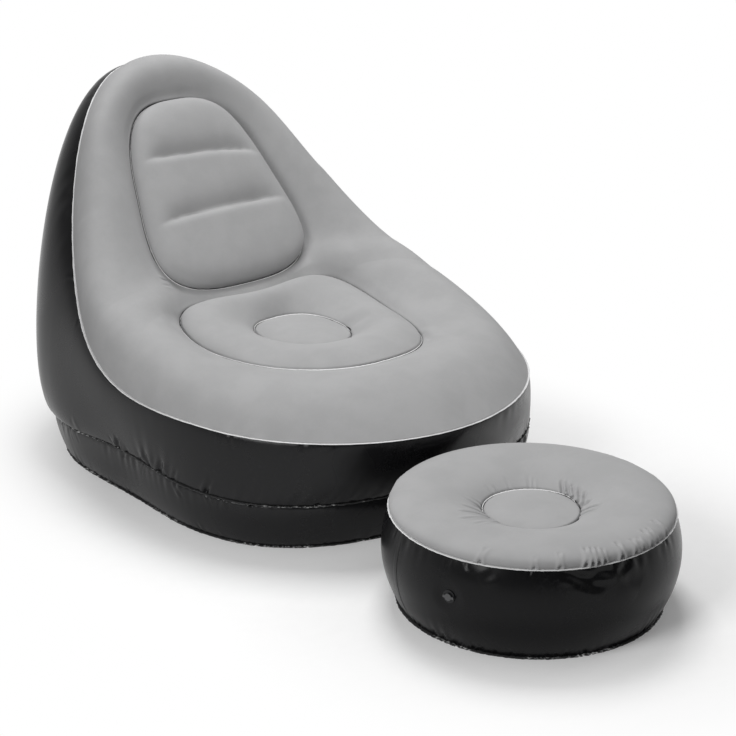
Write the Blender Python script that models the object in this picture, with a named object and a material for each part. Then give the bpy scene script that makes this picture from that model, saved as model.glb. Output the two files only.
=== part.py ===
"""Inflatable lounge chair with its matching round footstool, in metres, +Z up.

The chair faces -Y and is symmetric about X = 0. Its origin is the middle of its base on the
floor. Every chamber is built as the real one is: thin sheets that meet at welded seams, held in
shape by webs inside, with a bung valve at the back. The footstool stands by itself in front.
"""

import math

import bmesh
import bpy
from mathutils import Matrix, Vector
from mathutils.bvhtree import BVHTree

# Sheets and welds
SHEET_THICKNESS = 0.0005
WELD_GAP = 0.0005
LIFT_GAP = 0.0003
WEB_SETBACK = 0.0015
SEAM_WIDTH = 0.007
SEAM_THICKNESS = 0.0012
WELD_HEIGHT = 0.005
WELD_THICKNESS = 0.0012

# Chair rings: sizes at five stations, from the front lip round an arm to the top of the back
SEAM_HALF_WIDTHS = (0.436, 0.415, 0.383, 0.339, 0.308)
SEAM_PLACES = (-0.499, -0.225, 0.073, 0.313, 0.527)
SEAM_HEIGHTS = (0.210, 0.212, 0.232, 0.363, 0.689)
WALL_BULGES = (0.007, 0.005, 0.014, 0.039, 0.085)
FULLNESS_SHARE = 0.4
WALL_LEAN_SHARE = 1.1
COLLAR_RISES = (0.056, 0.097, 0.141, 0.107, 0.009)
COLLAR_FLARES = (-0.070, -0.040, 0.003, 0.008, -0.028)
RECESS_RISES = (0.019, 0.042, 0.066, 0.075, 0.081)
RECESS_RUNS = (0.088, 0.108, 0.130, 0.124, 0.108)
WAIST_HALF_WIDTHS = (0.554, 0.438, 0.387, 0.440, 0.569)
WAIST_PLACES = (-0.447, -0.200, 0.015, 0.235, 0.452)
WAIST_HEIGHTS = (0.086, 0.092, 0.099, 0.084, 0.078)
BASE_INSET = 0.021
BASE_BULGE = 0.008

# Back panel: a tilted flat outline over the seat's back edge, puffed between two pleats
PANEL_SETBACK = 0.028
PANEL_LIFT = 0.0168
PANEL_SLOPE = math.radians(52)
PANEL_HALF_WIDTHS = (0.216, 0.128)
PANEL_LENGTH = 0.408
PANEL_CORNER_SHARE = 0.68
PANEL_BELLY_SHARE = -0.057
PANEL_CROWN = 0.034
PANEL_EDGE_SHARE = 0.05
PLEAT_PLACES = (-0.051, 0.069)
PLEAT_WIDTH = 0.014
PLEAT_DEPTH_SHARE = 0.72
PLEAT_REACH_SHARE = 1.5

# Seat: a puffed ring round a sunken centre
SEAT_PLACE = -0.0493
SEAT_HEIGHT = 0.2616
SEAT_SLOPE = math.radians(1.0)
SEAT_HALF_WIDTHS = (0.144, 0.2225)
SEAT_LENGTH = 0.4854
SEAT_CORNER_SHARE = 0.734
SEAT_BELLY_SHARE = 0.122
SEAT_NOTCH = 0.070
SEAT_REAR_RISE = 0.030
SEAT_EAR_RISE = 0.034
SEAT_FRONT_RISE = 0.021
SEAT_CROWN = 0.026
PUFF_SHARE = 0.8
CENTRE_PLACE = 0.018
CENTRE_DROP = 0.003
CENTRE_HALF_WIDTH = 0.084
CENTRE_LENGTH = 0.190
CENTRE_CORNER_SHARE = 0.8
CENTRE_CROWN = 0.010

# Inside the chair
TIE_PLACES = (-0.26, 0.0, 0.26)
TIE_WIDTH = 0.44
DECK_STEP = 0.05
BACK_WEB_DROP_SHARE = 0.3

# Chair valve: a wide neck, a push-in bung, a small stopper and a flap
NECK_RADIUS = 0.0150
NECK_WALL = 0.0018
NECK_DEPTH = 0.026
NECK_LIP = 0.0030
FLANGE_RADIUS = 0.0240
FLANGE_THICKNESS = 0.0012
BUNG_CLEARANCE = 0.0003
BUNG_WALL = 0.0016
BUNG_DEPTH = 0.014
BUNG_RIM = 0.0020
BUNG_PLATE = 0.0016
MOUTH_RADIUS = 0.0055
MOUTH_RISE = 0.0030
MOUTH_WALL = 0.0014
FLAP_THICKNESS = 0.0008
FLAP_OVERLAP = 0.0022

# Footstool
STOOL_PLACE = (-0.072, -0.746)
STOOL_SEAM_RADIUS = 0.2375
STOOL_SEAM_HEIGHT = 0.164
STOOL_FLOOR_RADIUS = 0.222
STOOL_BULGE = 0.021
STOOL_CROWN_RISE = 0.032
STOOL_CROWN_FLARE = 0.012
STOOL_CENTRE_RADIUS = 0.083
STOOL_CENTRE_HEIGHT = 0.158
STOOL_RECESS_RISE = 0.040
STOOL_RECESS_RUN = 0.045
STOOL_CENTRE_CROWN = 0.008
STOOL_VALVE_BEARING = math.radians(-75)
LAP_BEARING = math.radians(-30)
LAP_WIDTH = 0.012

# Footstool valve
COLLAR_RADIUS = 0.0110
COLLAR_THICKNESS = 0.0010
COLLAR_DEPTH = 0.010
STEM_RADIUS = 0.0062
STEM_WALL = 0.0018
STEM_DEPTH = 0.018
STEM_PROUD = 0.0015
STEM_CLEARANCE = 0.0003

# Stoppers, shared by both valves
STOPPER_DEPTH = 0.0045
STOPPER_CLEARANCE = 0.0003
STOPPER_TAPER_SHARE = 0.72
LID_THICKNESS = 0.0012
LID_OVERHANG = 0.0012
HINGE_REACH = 0.0032
TONGUE_WIDTH = 0.0040
TAB_LENGTH = 0.0035
TONGUE_END_SHARE = 0.25
TONGUE_INSET_SHARE = 0.15

# How finely round shapes are cut
LOOP_COUNT = 28
STRIP_COUNT = 8
RING_COUNT = 2 * (LOOP_COUNT - STRIP_COUNT + 3)
WALL_ROW_COUNT = 6
BASE_ROW_COUNT = 3
COLLAR_ROW_COUNT = 7
SEAT_ROW_COUNT = 5
CENTRE_ROW_COUNT = 2
STOOL_COUNT = 36
STOOL_ROW_SHARES = (0, 0.12, 0.28, 0.46, 0.76, 1)
STOOL_TOP_ROW_COUNT = 7
VALVE_COUNT = 24

GREY_FLOCK = (0.36, 0.36, 0.365)
BLACK_VINYL = (0.018, 0.018, 0.019)
PALE_WELD = (0.62, 0.62, 0.63)
CLEAR_WEB = (0.55, 0.55, 0.57)
VALVE_BLACK = (0.012, 0.012, 0.013)
VALVE_GREY = (0.22, 0.22, 0.23)


def clear_scene():
    for obj in list(bpy.data.objects):
        bpy.data.objects.remove(obj, do_unlink=True)


def paint(obj, colour, roughness):
    """Gives the object its own plain material."""
    look = bpy.data.materials.new(obj.name)
    look.use_nodes = True
    shader = look.node_tree.nodes["Principled BSDF"]
    shader.inputs["Base Color"].default_value = (*colour, 1)
    shader.inputs["Roughness"].default_value = roughness
    shader.inputs["Metallic"].default_value = 0
    obj.data.materials.append(look)


def add_object(name, shape, colour, roughness, smooth=True):
    """Turns a bmesh into a named object in the scene."""
    mesh = bpy.data.meshes.new(name)
    shape.to_mesh(mesh)
    shape.free()
    if smooth:
        mesh.shade_smooth()
        mesh.set_sharp_from_angle(angle=math.radians(40))
    obj = bpy.data.objects.new(name, mesh)
    bpy.context.scene.collection.objects.link(obj)
    paint(obj, colour, roughness)
    return obj


def thicken(obj, side=-1):
    """Gives an open sheet its thickness, on its inner side unless told otherwise."""
    layer = obj.modifiers.new("thickness", "SOLIDIFY")
    layer.thickness = SHEET_THICKNESS
    layer.offset = side
    layer.use_rim = True


def angles(count):
    """Turning angles with a face, not a corner, at the front and at the back."""
    return [(step + 0.5) * math.tau / count for step in range(count)]


def curve_point(start, first, second, end, share):
    """A point on a cubic curve."""
    rest = 1 - share
    near = start * rest**3 + first * 3 * rest**2 * share
    return near + second * 3 * rest * share**2 + end * share**3


def eased(sizes, along):
    """A size that runs smoothly through evenly spaced stations; along is -1 to 1."""
    place = (along + 1) / 2 * (len(sizes) - 1)
    step = min(int(place), len(sizes) - 2)
    run = [2 * sizes[0] - sizes[1], *sizes, 2 * sizes[-1] - sizes[-2]]
    before, start, end, after = run[step : step + 4]
    third = 1 / 3
    first = start + (end - before) / 2 * third
    second = end - (after - start) / 2 * third
    return curve_point(start, first, second, end, place - step)


def chair_ring(half_widths, places, heights):
    """A closed ring round the chair, counter-clockwise from its front middle."""
    ring = []
    for angle in angles(RING_COUNT):
        along = -math.cos(angle)
        across = math.sin(angle) * eased(half_widths, along)
        ring.append(Vector((across, eased(places, along), eased(heights, along))))
    return ring


def circle(radius, height, count):
    """A level circle about Z, starting at -Y."""
    return [Vector((radius * math.sin(a), -radius * math.cos(a), height)) for a in angles(count)]


def ring_frames(ring):
    """At each point of a closed ring: its outward direction, and the one across the ring."""
    frames = []
    for index, point in enumerate(ring):
        run = (ring[(index + 1) % len(ring)] - ring[index - 1]).normalized()
        outward = Vector((run.y, -run.x, 0)).normalized()
        frames.append((outward, outward.cross(run)))
    return frames


def shifted(ring, out=0.0, up=0.0):
    """The ring moved outward and across itself, by its own frames."""
    return [point + o * out + u * up for point, (o, u) in zip(ring, ring_frames(ring))]


def outline(half_widths, length, roundness, count, belly_share=0.0, notch=0.0):
    """A rounded outline in its own plane, narrower at one end; notch draws its far edge in."""
    near, far = half_widths
    points = []
    for angle in angles(count):
        across = math.copysign(abs(math.sin(angle)) ** roundness, math.sin(angle))
        along = -math.copysign(abs(math.cos(angle)) ** roundness, math.cos(angle))
        half = (near + far) / 2 + (far - near) / 2 * along
        half *= 1 + belly_share * (1 - along**2)
        drawn_in = notch * max(along, 0) ** 2 * (1 - across**2)
        points.append(Vector((across * half, along * length / 2 - drawn_in, 0)))
    return points


def widened(loop, distance):
    """A flat outline moved outward by the distance, with true corners."""
    moved = []
    for index, point in enumerate(loop):
        before = (point - loop[index - 1]).normalized()
        after = (loop[(index + 1) % len(loop)] - point).normalized()
        first = Vector((before.y, -before.x, 0))
        second = Vector((after.y, -after.x, 0))
        corner = (first + second).normalized()
        moved.append(point + corner * distance / corner.dot(first))
    return moved


def raised(loop, height):
    return [point + Vector((0, 0, height)) for point in loop]


def placed(loop, place):
    return [place @ point for point in loop]


def tilted_plane(place, height, slope):
    return Matrix.Translation((0, place, height)) @ Matrix.Rotation(slope, 4, "X")


def add_rows(shape, rows, closed=True):
    """Joins rows of points with faces; a row of one point closes the sheet there."""
    made = [[shape.verts.new(point) for point in row] for row in rows]
    for lower, upper in zip(made, made[1:]):
        count = max(len(lower), len(upper))
        for index in range(count if closed else count - 1):
            after = (index + 1) % count
            if len(upper) == 1:
                shape.faces.new((lower[index], lower[after], upper[0]))
            elif len(lower) == 1:
                shape.faces.new((lower[0], upper[after], upper[index]))
            else:
                shape.faces.new((lower[index], lower[after], upper[after], upper[index]))


def sheet(name, rows, colour, roughness, closed=True, side=-1):
    """A thin sheet through rows of points, its outer face to the right of their run."""
    shape = bmesh.new()
    add_rows(shape, rows, closed)
    obj = add_object(name, shape, colour, roughness)
    thicken(obj, side)
    return obj


def hoop(name, corner_rings, colour, roughness):
    """A closed hoop whose cross-section has one corner for each ring."""
    shape = bmesh.new()
    add_rows(shape, [*corner_rings, corner_rings[0]])
    bmesh.ops.remove_doubles(shape, verts=shape.verts, dist=SHEET_THICKNESS / 10)
    bmesh.ops.recalc_face_normals(shape, faces=shape.faces)
    return add_object(name, shape, colour, roughness, smooth=False)


def turned(name, profile, colour, roughness, count=VALVE_COUNT):
    """A solid of revolution about Z from a closed profile of (radius, height) corners."""
    shape = bmesh.new()
    rows = []
    for radius, height in [*profile, profile[0]]:
        row = circle(radius, height, count) if radius else [Vector((0, 0, height))]
        rows.append(row)
    for lower, upper in zip(rows, rows[1:]):
        if len(lower) > 1 or len(upper) > 1:
            add_rows(shape, [lower, upper])
    bmesh.ops.remove_doubles(shape, verts=shape.verts, dist=SHEET_THICKNESS / 10)
    bmesh.ops.recalc_face_normals(shape, faces=shape.faces)
    return add_object(name, shape, colour, roughness)


def slab(name, loop, bottom, thickness, colour, roughness):
    """A flat plate: the outline, extruded upward."""
    shape = bmesh.new()
    face = shape.faces.new([shape.verts.new(point) for point in raised(loop, bottom)])
    grown = bmesh.ops.extrude_face_region(shape, geom=[face])
    lifted = [item for item in grown["geom"] if isinstance(item, bmesh.types.BMVert)]
    bmesh.ops.translate(shape, verts=lifted, vec=(0, 0, thickness))
    bmesh.ops.recalc_face_normals(shape, faces=shape.faces)
    return add_object(name, shape, colour, roughness, smooth=False)


def combine(target, other, operation):
    """A Boolean with a helper that stays out of the model."""
    other.hide_render = True
    other.display_type = "WIRE"
    step = target.modifiers.new(operation.lower(), "BOOLEAN")
    step.operation = operation
    step.object = other
    step.solver = "EXACT"


def shares(count):
    return [step / count for step in range(count + 1)]


def crowded_shares(count):
    """Shares that lie closer together toward both ends."""
    return [(1 - math.cos(math.pi * share)) / 2 for share in shares(count)]


def seam_ring():
    return chair_ring(SEAM_HALF_WIDTHS, SEAM_PLACES, SEAM_HEIGHTS)


def waist_ring():
    return chair_ring(WAIST_HALF_WIDTHS, WAIST_PLACES, WAIST_HEIGHTS)


def floor_ring():
    return [Vector((p.x, p.y, 0)) for p in shifted(waist_ring(), out=-BASE_INSET)]


def flange(name, ring, colour=PALE_WELD):
    """The welded margin where two sheets meet: a flat strip that stands out all round."""
    out, up = SEAM_WIDTH / 2, SEAM_THICKNESS / 2
    corners = [(-out, -up), (out, -up), (out, up), (-out, up)]
    return hoop(name, [shifted(ring, o, u) for o, u in corners], colour, 0.45)


def weld(name, loop, place):
    """The standing weld line in the groove between two puffed sheets."""
    half = WELD_THICKNESS / 2
    top, bottom = WELD_HEIGHT / 2, -WELD_HEIGHT / 2
    corners = [(half, bottom), (half, top), (-half, top), (-half, bottom)]
    rings = [placed(raised(widened(loop, out), up), place) for out, up in corners]
    return hoop(name, rings, PALE_WELD, 0.5)


def clear_of_weld(loop, side):
    """A flat loop moved off the weld line, outward for side 1 and inward for -1."""
    return widened(loop, side * (WELD_THICKNESS / 2 + WELD_GAP))


def bulged_rows(lower, upper, bulges, count, lean=1):
    """Rows of a wall that swells outward between two rings."""
    rows = []
    frames = ring_frames(upper)
    turns = angles(len(lower))
    for share in crowded_shares(count):
        leant = share**lean
        swell = (4 * leant * (1 - leant)) ** FULLNESS_SHARE
        row = []
        for low, high, (outward, _), turn in zip(lower, upper, frames, turns):
            bulge = eased(bulges, -math.cos(turn)) * swell
            row.append(low.lerp(high, share) + outward * bulge)
        rows.append(row)
    return rows


def wall_rows():
    clear = SEAM_THICKNESS / 2 + WELD_GAP
    lower = shifted(waist_ring(), up=clear)
    upper = shifted(seam_ring(), up=-clear)
    return bulged_rows(lower, upper, WALL_BULGES, WALL_ROW_COUNT, WALL_LEAN_SHARE)


def base_rows():
    clear = SEAM_THICKNESS / 2 + WELD_GAP
    lower = raised(floor_ring(), SEAM_THICKNESS + WELD_GAP)
    upper = shifted(waist_ring(), up=-clear)
    return bulged_rows(lower, upper, (BASE_BULGE, BASE_BULGE), BASE_ROW_COUNT)


def panel_plane():
    """The panel's plane; its bottom edge lies just above and behind the seat's back edge."""
    edge = seat_plane() @ Vector((0, SEAT_LENGTH / 2 - SEAT_NOTCH, SEAT_REAR_RISE))
    place = edge.y + PANEL_SETBACK + PANEL_LENGTH / 2 * math.cos(PANEL_SLOPE)
    height = edge.z + PANEL_LIFT + PANEL_LENGTH / 2 * math.sin(PANEL_SLOPE)
    return tilted_plane(place, height, PANEL_SLOPE)


def panel_loop():
    return outline(PANEL_HALF_WIDTHS, PANEL_LENGTH, PANEL_CORNER_SHARE, LOOP_COUNT, PANEL_BELLY_SHARE)


def seat_plane():
    return tilted_plane(SEAT_PLACE, SEAT_HEIGHT, SEAT_SLOPE)


def seat_loop():
    """The seat's outline; its rear, its rear corners and its front rise out of its plane."""
    loop = outline(SEAT_HALF_WIDTHS, SEAT_LENGTH, SEAT_CORNER_SHARE, LOOP_COUNT, SEAT_BELLY_SHARE, SEAT_NOTCH)
    risen = []
    for point, angle in zip(loop, angles(LOOP_COUNT)):
        across = abs(math.sin(angle)) ** SEAT_CORNER_SHARE
        along = -math.copysign(abs(math.cos(angle)) ** SEAT_CORNER_SHARE, math.cos(angle))
        rear = (SEAT_REAR_RISE + SEAT_EAR_RISE * across**2) * max(along, 0) ** 2
        front = SEAT_FRONT_RISE * max(-along, 0) ** 2
        risen.append(point + Vector((0, 0, rear + front)))
    return risen


def centre_loop():
    halves = (CENTRE_HALF_WIDTH, CENTRE_HALF_WIDTH)
    loop = outline(halves, CENTRE_LENGTH, CENTRE_CORNER_SHARE, LOOP_COUNT)
    return [point + Vector((0, CENTRE_PLACE, -CENTRE_DROP)) for point in loop]


def collar_holes():
    """The collar's two inner edges as (point, facing) lists, and the strip between them."""
    seat_up = seat_plane().to_3x3() @ Vector((0, 0, 1))
    panel_up = panel_plane().to_3x3() @ Vector((0, 0, 1))
    seat = [(p, seat_up) for p in placed(clear_of_weld(seat_loop(), 1), seat_plane())]
    panel = [(p, panel_up) for p in placed(clear_of_weld(panel_loop(), 1), panel_plane())]
    middle, half = LOOP_COUNT // 2, STRIP_COUNT // 2
    seat_arc = seat[middle - half : middle + half]
    panel_arc = [panel[index] for index in range(half - 1, -half - 1, -1)]
    crease = []
    for (low, low_up), (high, high_up) in zip(seat_arc, panel_arc):
        up = (low_up + high_up).normalized()
        crease.append((low.lerp(high, 0.5), up))
    right = seat[: middle - half + 1] + [crease[0]]
    top = panel[half - 1 : LOOP_COUNT - half + 1]
    left = [crease[-1]] + seat[middle + half - 1 :]
    strip = [[p for p, _ in row] for row in (panel_arc, crease, seat_arc)]
    return right + top + left, strip


def collar_rows(edge):
    """Rows from the outer seam, over the crest, down into the recesses."""
    start = shifted(seam_ring(), up=SEAM_THICKNESS / 2 + LIFT_GAP + SHEET_THICKNESS)
    frames = ring_frames(seam_ring())
    columns = []
    for point, (outward, up), (inner, facing), turn in zip(start, frames, edge, angles(len(start))):
        along = -math.cos(turn)
        first = point + up * eased(COLLAR_RISES, along) + outward * eased(COLLAR_FLARES, along)
        away = point - inner
        away = (away - facing * away.dot(facing)).normalized()
        second = inner + facing * eased(RECESS_RISES, along) + away * eased(RECESS_RUNS, along)
        column = [curve_point(point, first, second, inner, s) for s in shares(COLLAR_ROW_COUNT)]
        columns.append(column)
    return [list(row) for row in zip(*columns)]


def make_collar():
    """Arms, front lip and back rim: one sheet with a hole for the seat and one for the back."""
    edge, strip = collar_holes()
    shape = bmesh.new()
    add_rows(shape, collar_rows(edge))
    add_rows(shape, strip, closed=False)
    bmesh.ops.remove_doubles(shape, verts=shape.verts, dist=SHEET_THICKNESS / 10)
    obj = add_object("chair_collar", shape, GREY_FLOCK, 0.9)
    thicken(obj)


def panel_side():
    """The panel's right side, one quarter of its outline from the bottom corner to the top one."""
    loop = clear_of_weld(panel_loop(), -1)
    corner = LOOP_COUNT // 8
    return loop[corner : corner + LOOP_COUNT // 4 + 1]


def at_level(side, level):
    """The point of a rising line of points that lies at the given Y."""
    for low, high in zip(side, side[1:]):
        if level <= high.y:
            return low.lerp(high, (level - low.y) / (high.y - low.y))
    return side[-1]


def panel_levels(side):
    """Where the panel's rows end on its sides: its own corners, and three rows for each pleat."""
    near = PLEAT_REACH_SHARE * PLEAT_WIDTH
    levels = [p.y for p in side if all(abs(p.y - pleat) > near for pleat in PLEAT_PLACES)]
    for pleat in PLEAT_PLACES:
        levels += [pleat - PLEAT_WIDTH, pleat, pleat + PLEAT_WIDTH]
    edge = PANEL_EDGE_SHARE * (side[-1].y - side[0].y)
    return sorted(levels + [side[0].y + edge, side[-1].y - edge])


def panel_puff(across, along, level):
    """How far the panel stands out of its plane; across and along run from -1 to 1 over it."""
    dome = (1 - across**4) * (1 - along**6)
    valley = max(math.exp(-(((level - pleat) / PLEAT_WIDTH) ** 2)) for pleat in PLEAT_PLACES)
    return PANEL_CROWN * math.sqrt(max(0, dome)) * (1 - PLEAT_DEPTH_SHARE * valley)


def panel_rows():
    """A grid of points that fills the panel's outline, puffed into three lobes."""
    loop = clear_of_weld(panel_loop(), -1)
    quarter = LOOP_COUNT // 4
    corner = quarter // 2
    bottom = [loop[index] for index in range(corner - quarter, corner + 1)]
    top = loop[corner + quarter : corner + 2 * quarter + 1][::-1]
    right = panel_side()
    left = [Vector((-point.x, point.y, 0)) for point in right]
    columns = sorted(shares(quarter) + [PANEL_EDGE_SHARE, 1 - PANEL_EDGE_SHARE])
    rows = []
    for level in panel_levels(right):
        along = (level - right[0].y) / (right[-1].y - right[0].y)
        west, east = at_level(left, level), at_level(right, level)
        row = []
        for across in columns:
            low, high = along_line(bottom, across), along_line(top, across)
            middle = low.lerp(high, along) + west.lerp(east, across)
            corners = bottom[0].lerp(bottom[-1], across).lerp(top[0].lerp(top[-1], across), along)
            point = middle - corners
            point.z = panel_puff(2 * across - 1, 2 * along - 1, level)
            row.append(point)
        rows.append(row)
    return rows


def along_line(points, share):
    """The point at a share of the way along a line of evenly counted points."""
    place = share * (len(points) - 1)
    step = min(int(place), len(points) - 2)
    return points[step].lerp(points[step + 1], place - step)


def make_back_panel():
    """The reclined back: three puffed lobes between two pleats."""
    panel = sheet("chair_back_panel", panel_rows(), GREY_FLOCK, 0.9, closed=False)
    panel.matrix_world = panel_plane()


def puffed_rows(outer, inner, crown, count):
    """Rows between two loops of one plane, swelling up between them."""
    rows = []
    for share in shares(count):
        lift = crown * math.sin(math.pi * share) ** PUFF_SHARE
        row = [a.lerp(b, share) + Vector((0, 0, lift)) for a, b in zip(outer, inner)]
        rows.append(row)
    return rows


def domed_rows(loop, crown, count):
    """Rows from a loop to one middle point, rising as a shallow dome."""
    middle = sum(loop, Vector()) / len(loop)
    rows = []
    for share in shares(count)[:-1]:
        lift = Vector((0, 0, crown * (1 - (1 - share) ** 2)))
        rows.append([point.lerp(middle, share) + lift for point in loop])
    return rows + [[middle + Vector((0, 0, crown))]]


def make_seat():
    outer = clear_of_weld(seat_loop(), -1)
    inner = clear_of_weld(centre_loop(), 1)
    ring = sheet("chair_seat_ring", puffed_rows(outer, inner, SEAT_CROWN, SEAT_ROW_COUNT), GREY_FLOCK, 0.9)
    loop = clear_of_weld(centre_loop(), -1)
    centre = sheet("chair_seat_centre", domed_rows(loop, CENTRE_CROWN, CENTRE_ROW_COUNT), GREY_FLOCK, 0.9)
    for piece in (ring, centre):
        piece.matrix_world = seat_plane()
    weld("chair_seat_weld", seat_loop(), seat_plane())
    weld("chair_centre_weld", centre_loop(), seat_plane())
    weld("chair_back_weld", panel_loop(), panel_plane())


def make_walls():
    """The black side wall, the low base wall and the sheet they stand on."""
    sheet("chair_side_wall", wall_rows(), BLACK_VINYL, 0.35)
    sheet("chair_base_wall", base_rows(), BLACK_VINYL, 0.35)
    loop = widened(floor_ring(), -(SEAM_WIDTH / 2 + WELD_GAP))
    slab("chair_bottom_sheet", loop, 0, SHEET_THICKNESS, BLACK_VINYL, 0.5)
    flange("chair_top_seam", seam_ring())
    flange("chair_waist_seam", waist_ring())
    flange("chair_bottom_seam", raised(floor_ring(), SEAM_THICKNESS / 2))


def make_deck():
    """The sheet inside at the waist, between the upper chamber and the base chamber."""
    edge = shifted(waist_ring(), out=-(SEAM_WIDTH / 2 + WELD_GAP))
    level = eased(WAIST_HEIGHTS, 0)
    inner = [Vector((p.x, p.y, level)) for p in shifted(waist_ring(), out=-DECK_STEP)]
    shape = bmesh.new()
    add_rows(shape, [edge, inner])
    bmesh.ops.remove_doubles(shape, verts=shape.verts, dist=SHEET_THICKNESS / 10)
    rim = [edge for edge in shape.edges if edge.is_boundary]
    rim = [edge for edge in rim if all(abs(v.co.z - level) < SHEET_THICKNESS / 10 for v in edge.verts)]
    bmesh.ops.edgeloop_fill(shape, edges=rim)
    bmesh.ops.recalc_face_normals(shape, faces=shape.faces)
    obj = add_object("chair_base_deck", shape, CLEAR_WEB, 0.4)
    thicken(obj, side=0)
    return level


def rear_wall_tree():
    """The side wall's outer surface for ray casts, with both diagonals of every face."""
    points, faces = [], []
    rows = wall_rows()
    for row in rows:
        points += row
    count = len(rows[0])
    for low in range(len(rows) - 1):
        for index in range(count):
            after = (index + 1) % count
            a, b = low * count + index, low * count + after
            d, c = a + count, b + count
            faces += [(a, b, c), (a, c, d), (a, b, d), (b, c, d)]
    return BVHTree.FromPolygons(points, faces)


def back_to_wall(points):
    """Where lines from the panel back to the rear wall end; the higher ones also run down."""
    tree = rear_wall_tree()
    bottom = (panel_plane() @ Vector((0, -PANEL_LENGTH / 2, 0))).z
    height = PANEL_LENGTH * math.sin(PANEL_SLOPE)
    ends = []
    for point in points:
        drop = BACK_WEB_DROP_SHARE * (point.z - bottom) / height
        back = Vector((0, 1, -drop)).normalized()
        hit, normal, _, _ = tree.ray_cast(point, back)
        ends.append(hit - back * (SHEET_THICKNESS + WEB_SETBACK) / abs(normal.dot(back)))
    return ends


def make_back_webs():
    """Inside the back: a band from the panel's weld, and a strip from each pleat, to the rear wall."""
    band = placed(raised(panel_loop(), -WELD_HEIGHT / 2 - WELD_GAP), panel_plane())
    sheet("chair_back_web", [band, back_to_wall(band)], CLEAR_WEB, 0.4, side=0)
    levels = panel_levels(panel_side())
    rows = panel_rows()
    for pleat, where in zip(PLEAT_PLACES, ("lower", "upper")):
        valley = rows[levels.index(pleat)][2:-2]
        front = placed(raised(valley, -SHEET_THICKNESS - WELD_GAP), panel_plane())
        ends = back_to_wall(front)
        sheet("chair_pleat_web_" + where, [front, ends], CLEAR_WEB, 0.4, closed=False, side=0)


def make_seat_webs(level):
    """Upright bands from the seat's two weld lines down to the deck."""
    foot = level + SHEET_THICKNESS / 2 + WELD_GAP
    for name, loop in (("chair_seat_web", seat_loop()), ("chair_centre_web", centre_loop())):
        top = placed(raised(loop, -WELD_HEIGHT / 2 - WELD_GAP), seat_plane())
        bottom = [Vector((p.x, p.y, foot)) for p in top]
        sheet(name, [bottom, top], CLEAR_WEB, 0.4, side=0)


def make_base_ties(level):
    """Upright strips across the base chamber, from the bottom sheet to the deck."""
    low = SHEET_THICKNESS + WELD_GAP
    high = level - SHEET_THICKNESS / 2 - WELD_GAP
    half = TIE_WIDTH / 2
    for place, where in zip(TIE_PLACES, ("front", "middle", "rear")):
        rows = [[Vector((x, place, z)) for x in (-half, half)] for z in (low, high)]
        sheet("chair_base_tie_" + where, rows, CLEAR_WEB, 0.4, closed=False, side=0)


def facet(rows, row, column):
    """The middle and the outward direction of one flat face of a wall."""
    after = (column + 1) % len(rows[row])
    corners = [rows[row][column], rows[row][after], rows[row + 1][after], rows[row + 1][column]]
    normal = (corners[2] - corners[0]).cross(corners[3] - corners[1]).normalized()
    return sum(corners, Vector()) / 4, normal


def facing_frame(middle, normal):
    """A frame with Z along the normal and Y upward."""
    side = Vector((0, 0, 1)).cross(normal).normalized()
    up = normal.cross(side)
    turn = Matrix((side, up, normal)).transposed()
    return Matrix.Translation(middle) @ turn.to_4x4()


def make_holder(name, frame):
    holder = bpy.data.objects.new(name, None)
    bpy.context.scene.collection.objects.link(holder)
    holder.matrix_world = frame
    return holder


def hold(obj, holder, place=(0, 0, 0)):
    obj.parent = holder
    obj.location = place
    return obj


def add_bore(wall, frame, radius):
    """A round hole through the wall where a valve passes."""
    depth = 4 * SHEET_THICKNESS
    profile = [(0, -depth), (radius, -depth), (radius, depth), (0, depth)]
    tool = turned(wall.name + "_bore", profile, VALVE_BLACK, 0.5)
    tool.matrix_world = frame
    combine(wall, tool, "DIFFERENCE")


def lid(name, mouth_radius, lid_radius, holder, height):
    """A small stopper on a hinged lid. Its origin is on the hinge axis, past the lid's edge."""
    reach = lid_radius + HINGE_REACH
    thickness = LID_THICKNESS
    count = VALVE_COUNT
    disc = [Vector((-reach + lid_radius * math.sin(a), -lid_radius * math.cos(a), 0)) for a in angles(count)]
    top = slab(name, disc, 0, thickness, VALVE_GREY, 0.4)
    wide = mouth_radius - STOPPER_CLEARANCE
    narrow = wide * STOPPER_TAPER_SHARE
    low, high = -STOPPER_DEPTH, thickness / 2
    profile = [(0, low), (narrow, low), (wide, 0), (wide, high), (0, high)]
    plug = turned(name + "_plug", profile, VALVE_GREY, 0.4)
    hold(plug, top, (-reach, 0, 0))
    half = TONGUE_WIDTH / 2
    start, end = -reach - lid_radius - TAB_LENGTH, HINGE_REACH * TONGUE_END_SHARE
    strip = [Vector(p) for p in ((start, -half, 0), (end, -half, 0), (end, half, 0), (start, half, 0))]
    inset = thickness * TONGUE_INSET_SHARE
    tongue = slab(name + "_tongue", strip, inset, thickness - 2 * inset, VALVE_GREY, 0.4)
    hold(tongue, top)
    combine(top, plug, "UNION")
    combine(top, tongue, "UNION")
    hold(top, holder, (reach, 0, height))
    return top


def flap(name, radius, holder, height):
    """A thin one-way disc under an opening, hinged at its edge. Its origin is on the hinge."""
    middle = -radius
    disc = [Vector((middle + radius * math.sin(a), -radius * math.cos(a), 0)) for a in angles(VALVE_COUNT)]
    piece = slab(name, disc, -FLAP_THICKNESS, FLAP_THICKNESS, CLEAR_WEB, 0.4)
    return hold(piece, holder, (radius, 0, height))


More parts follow.
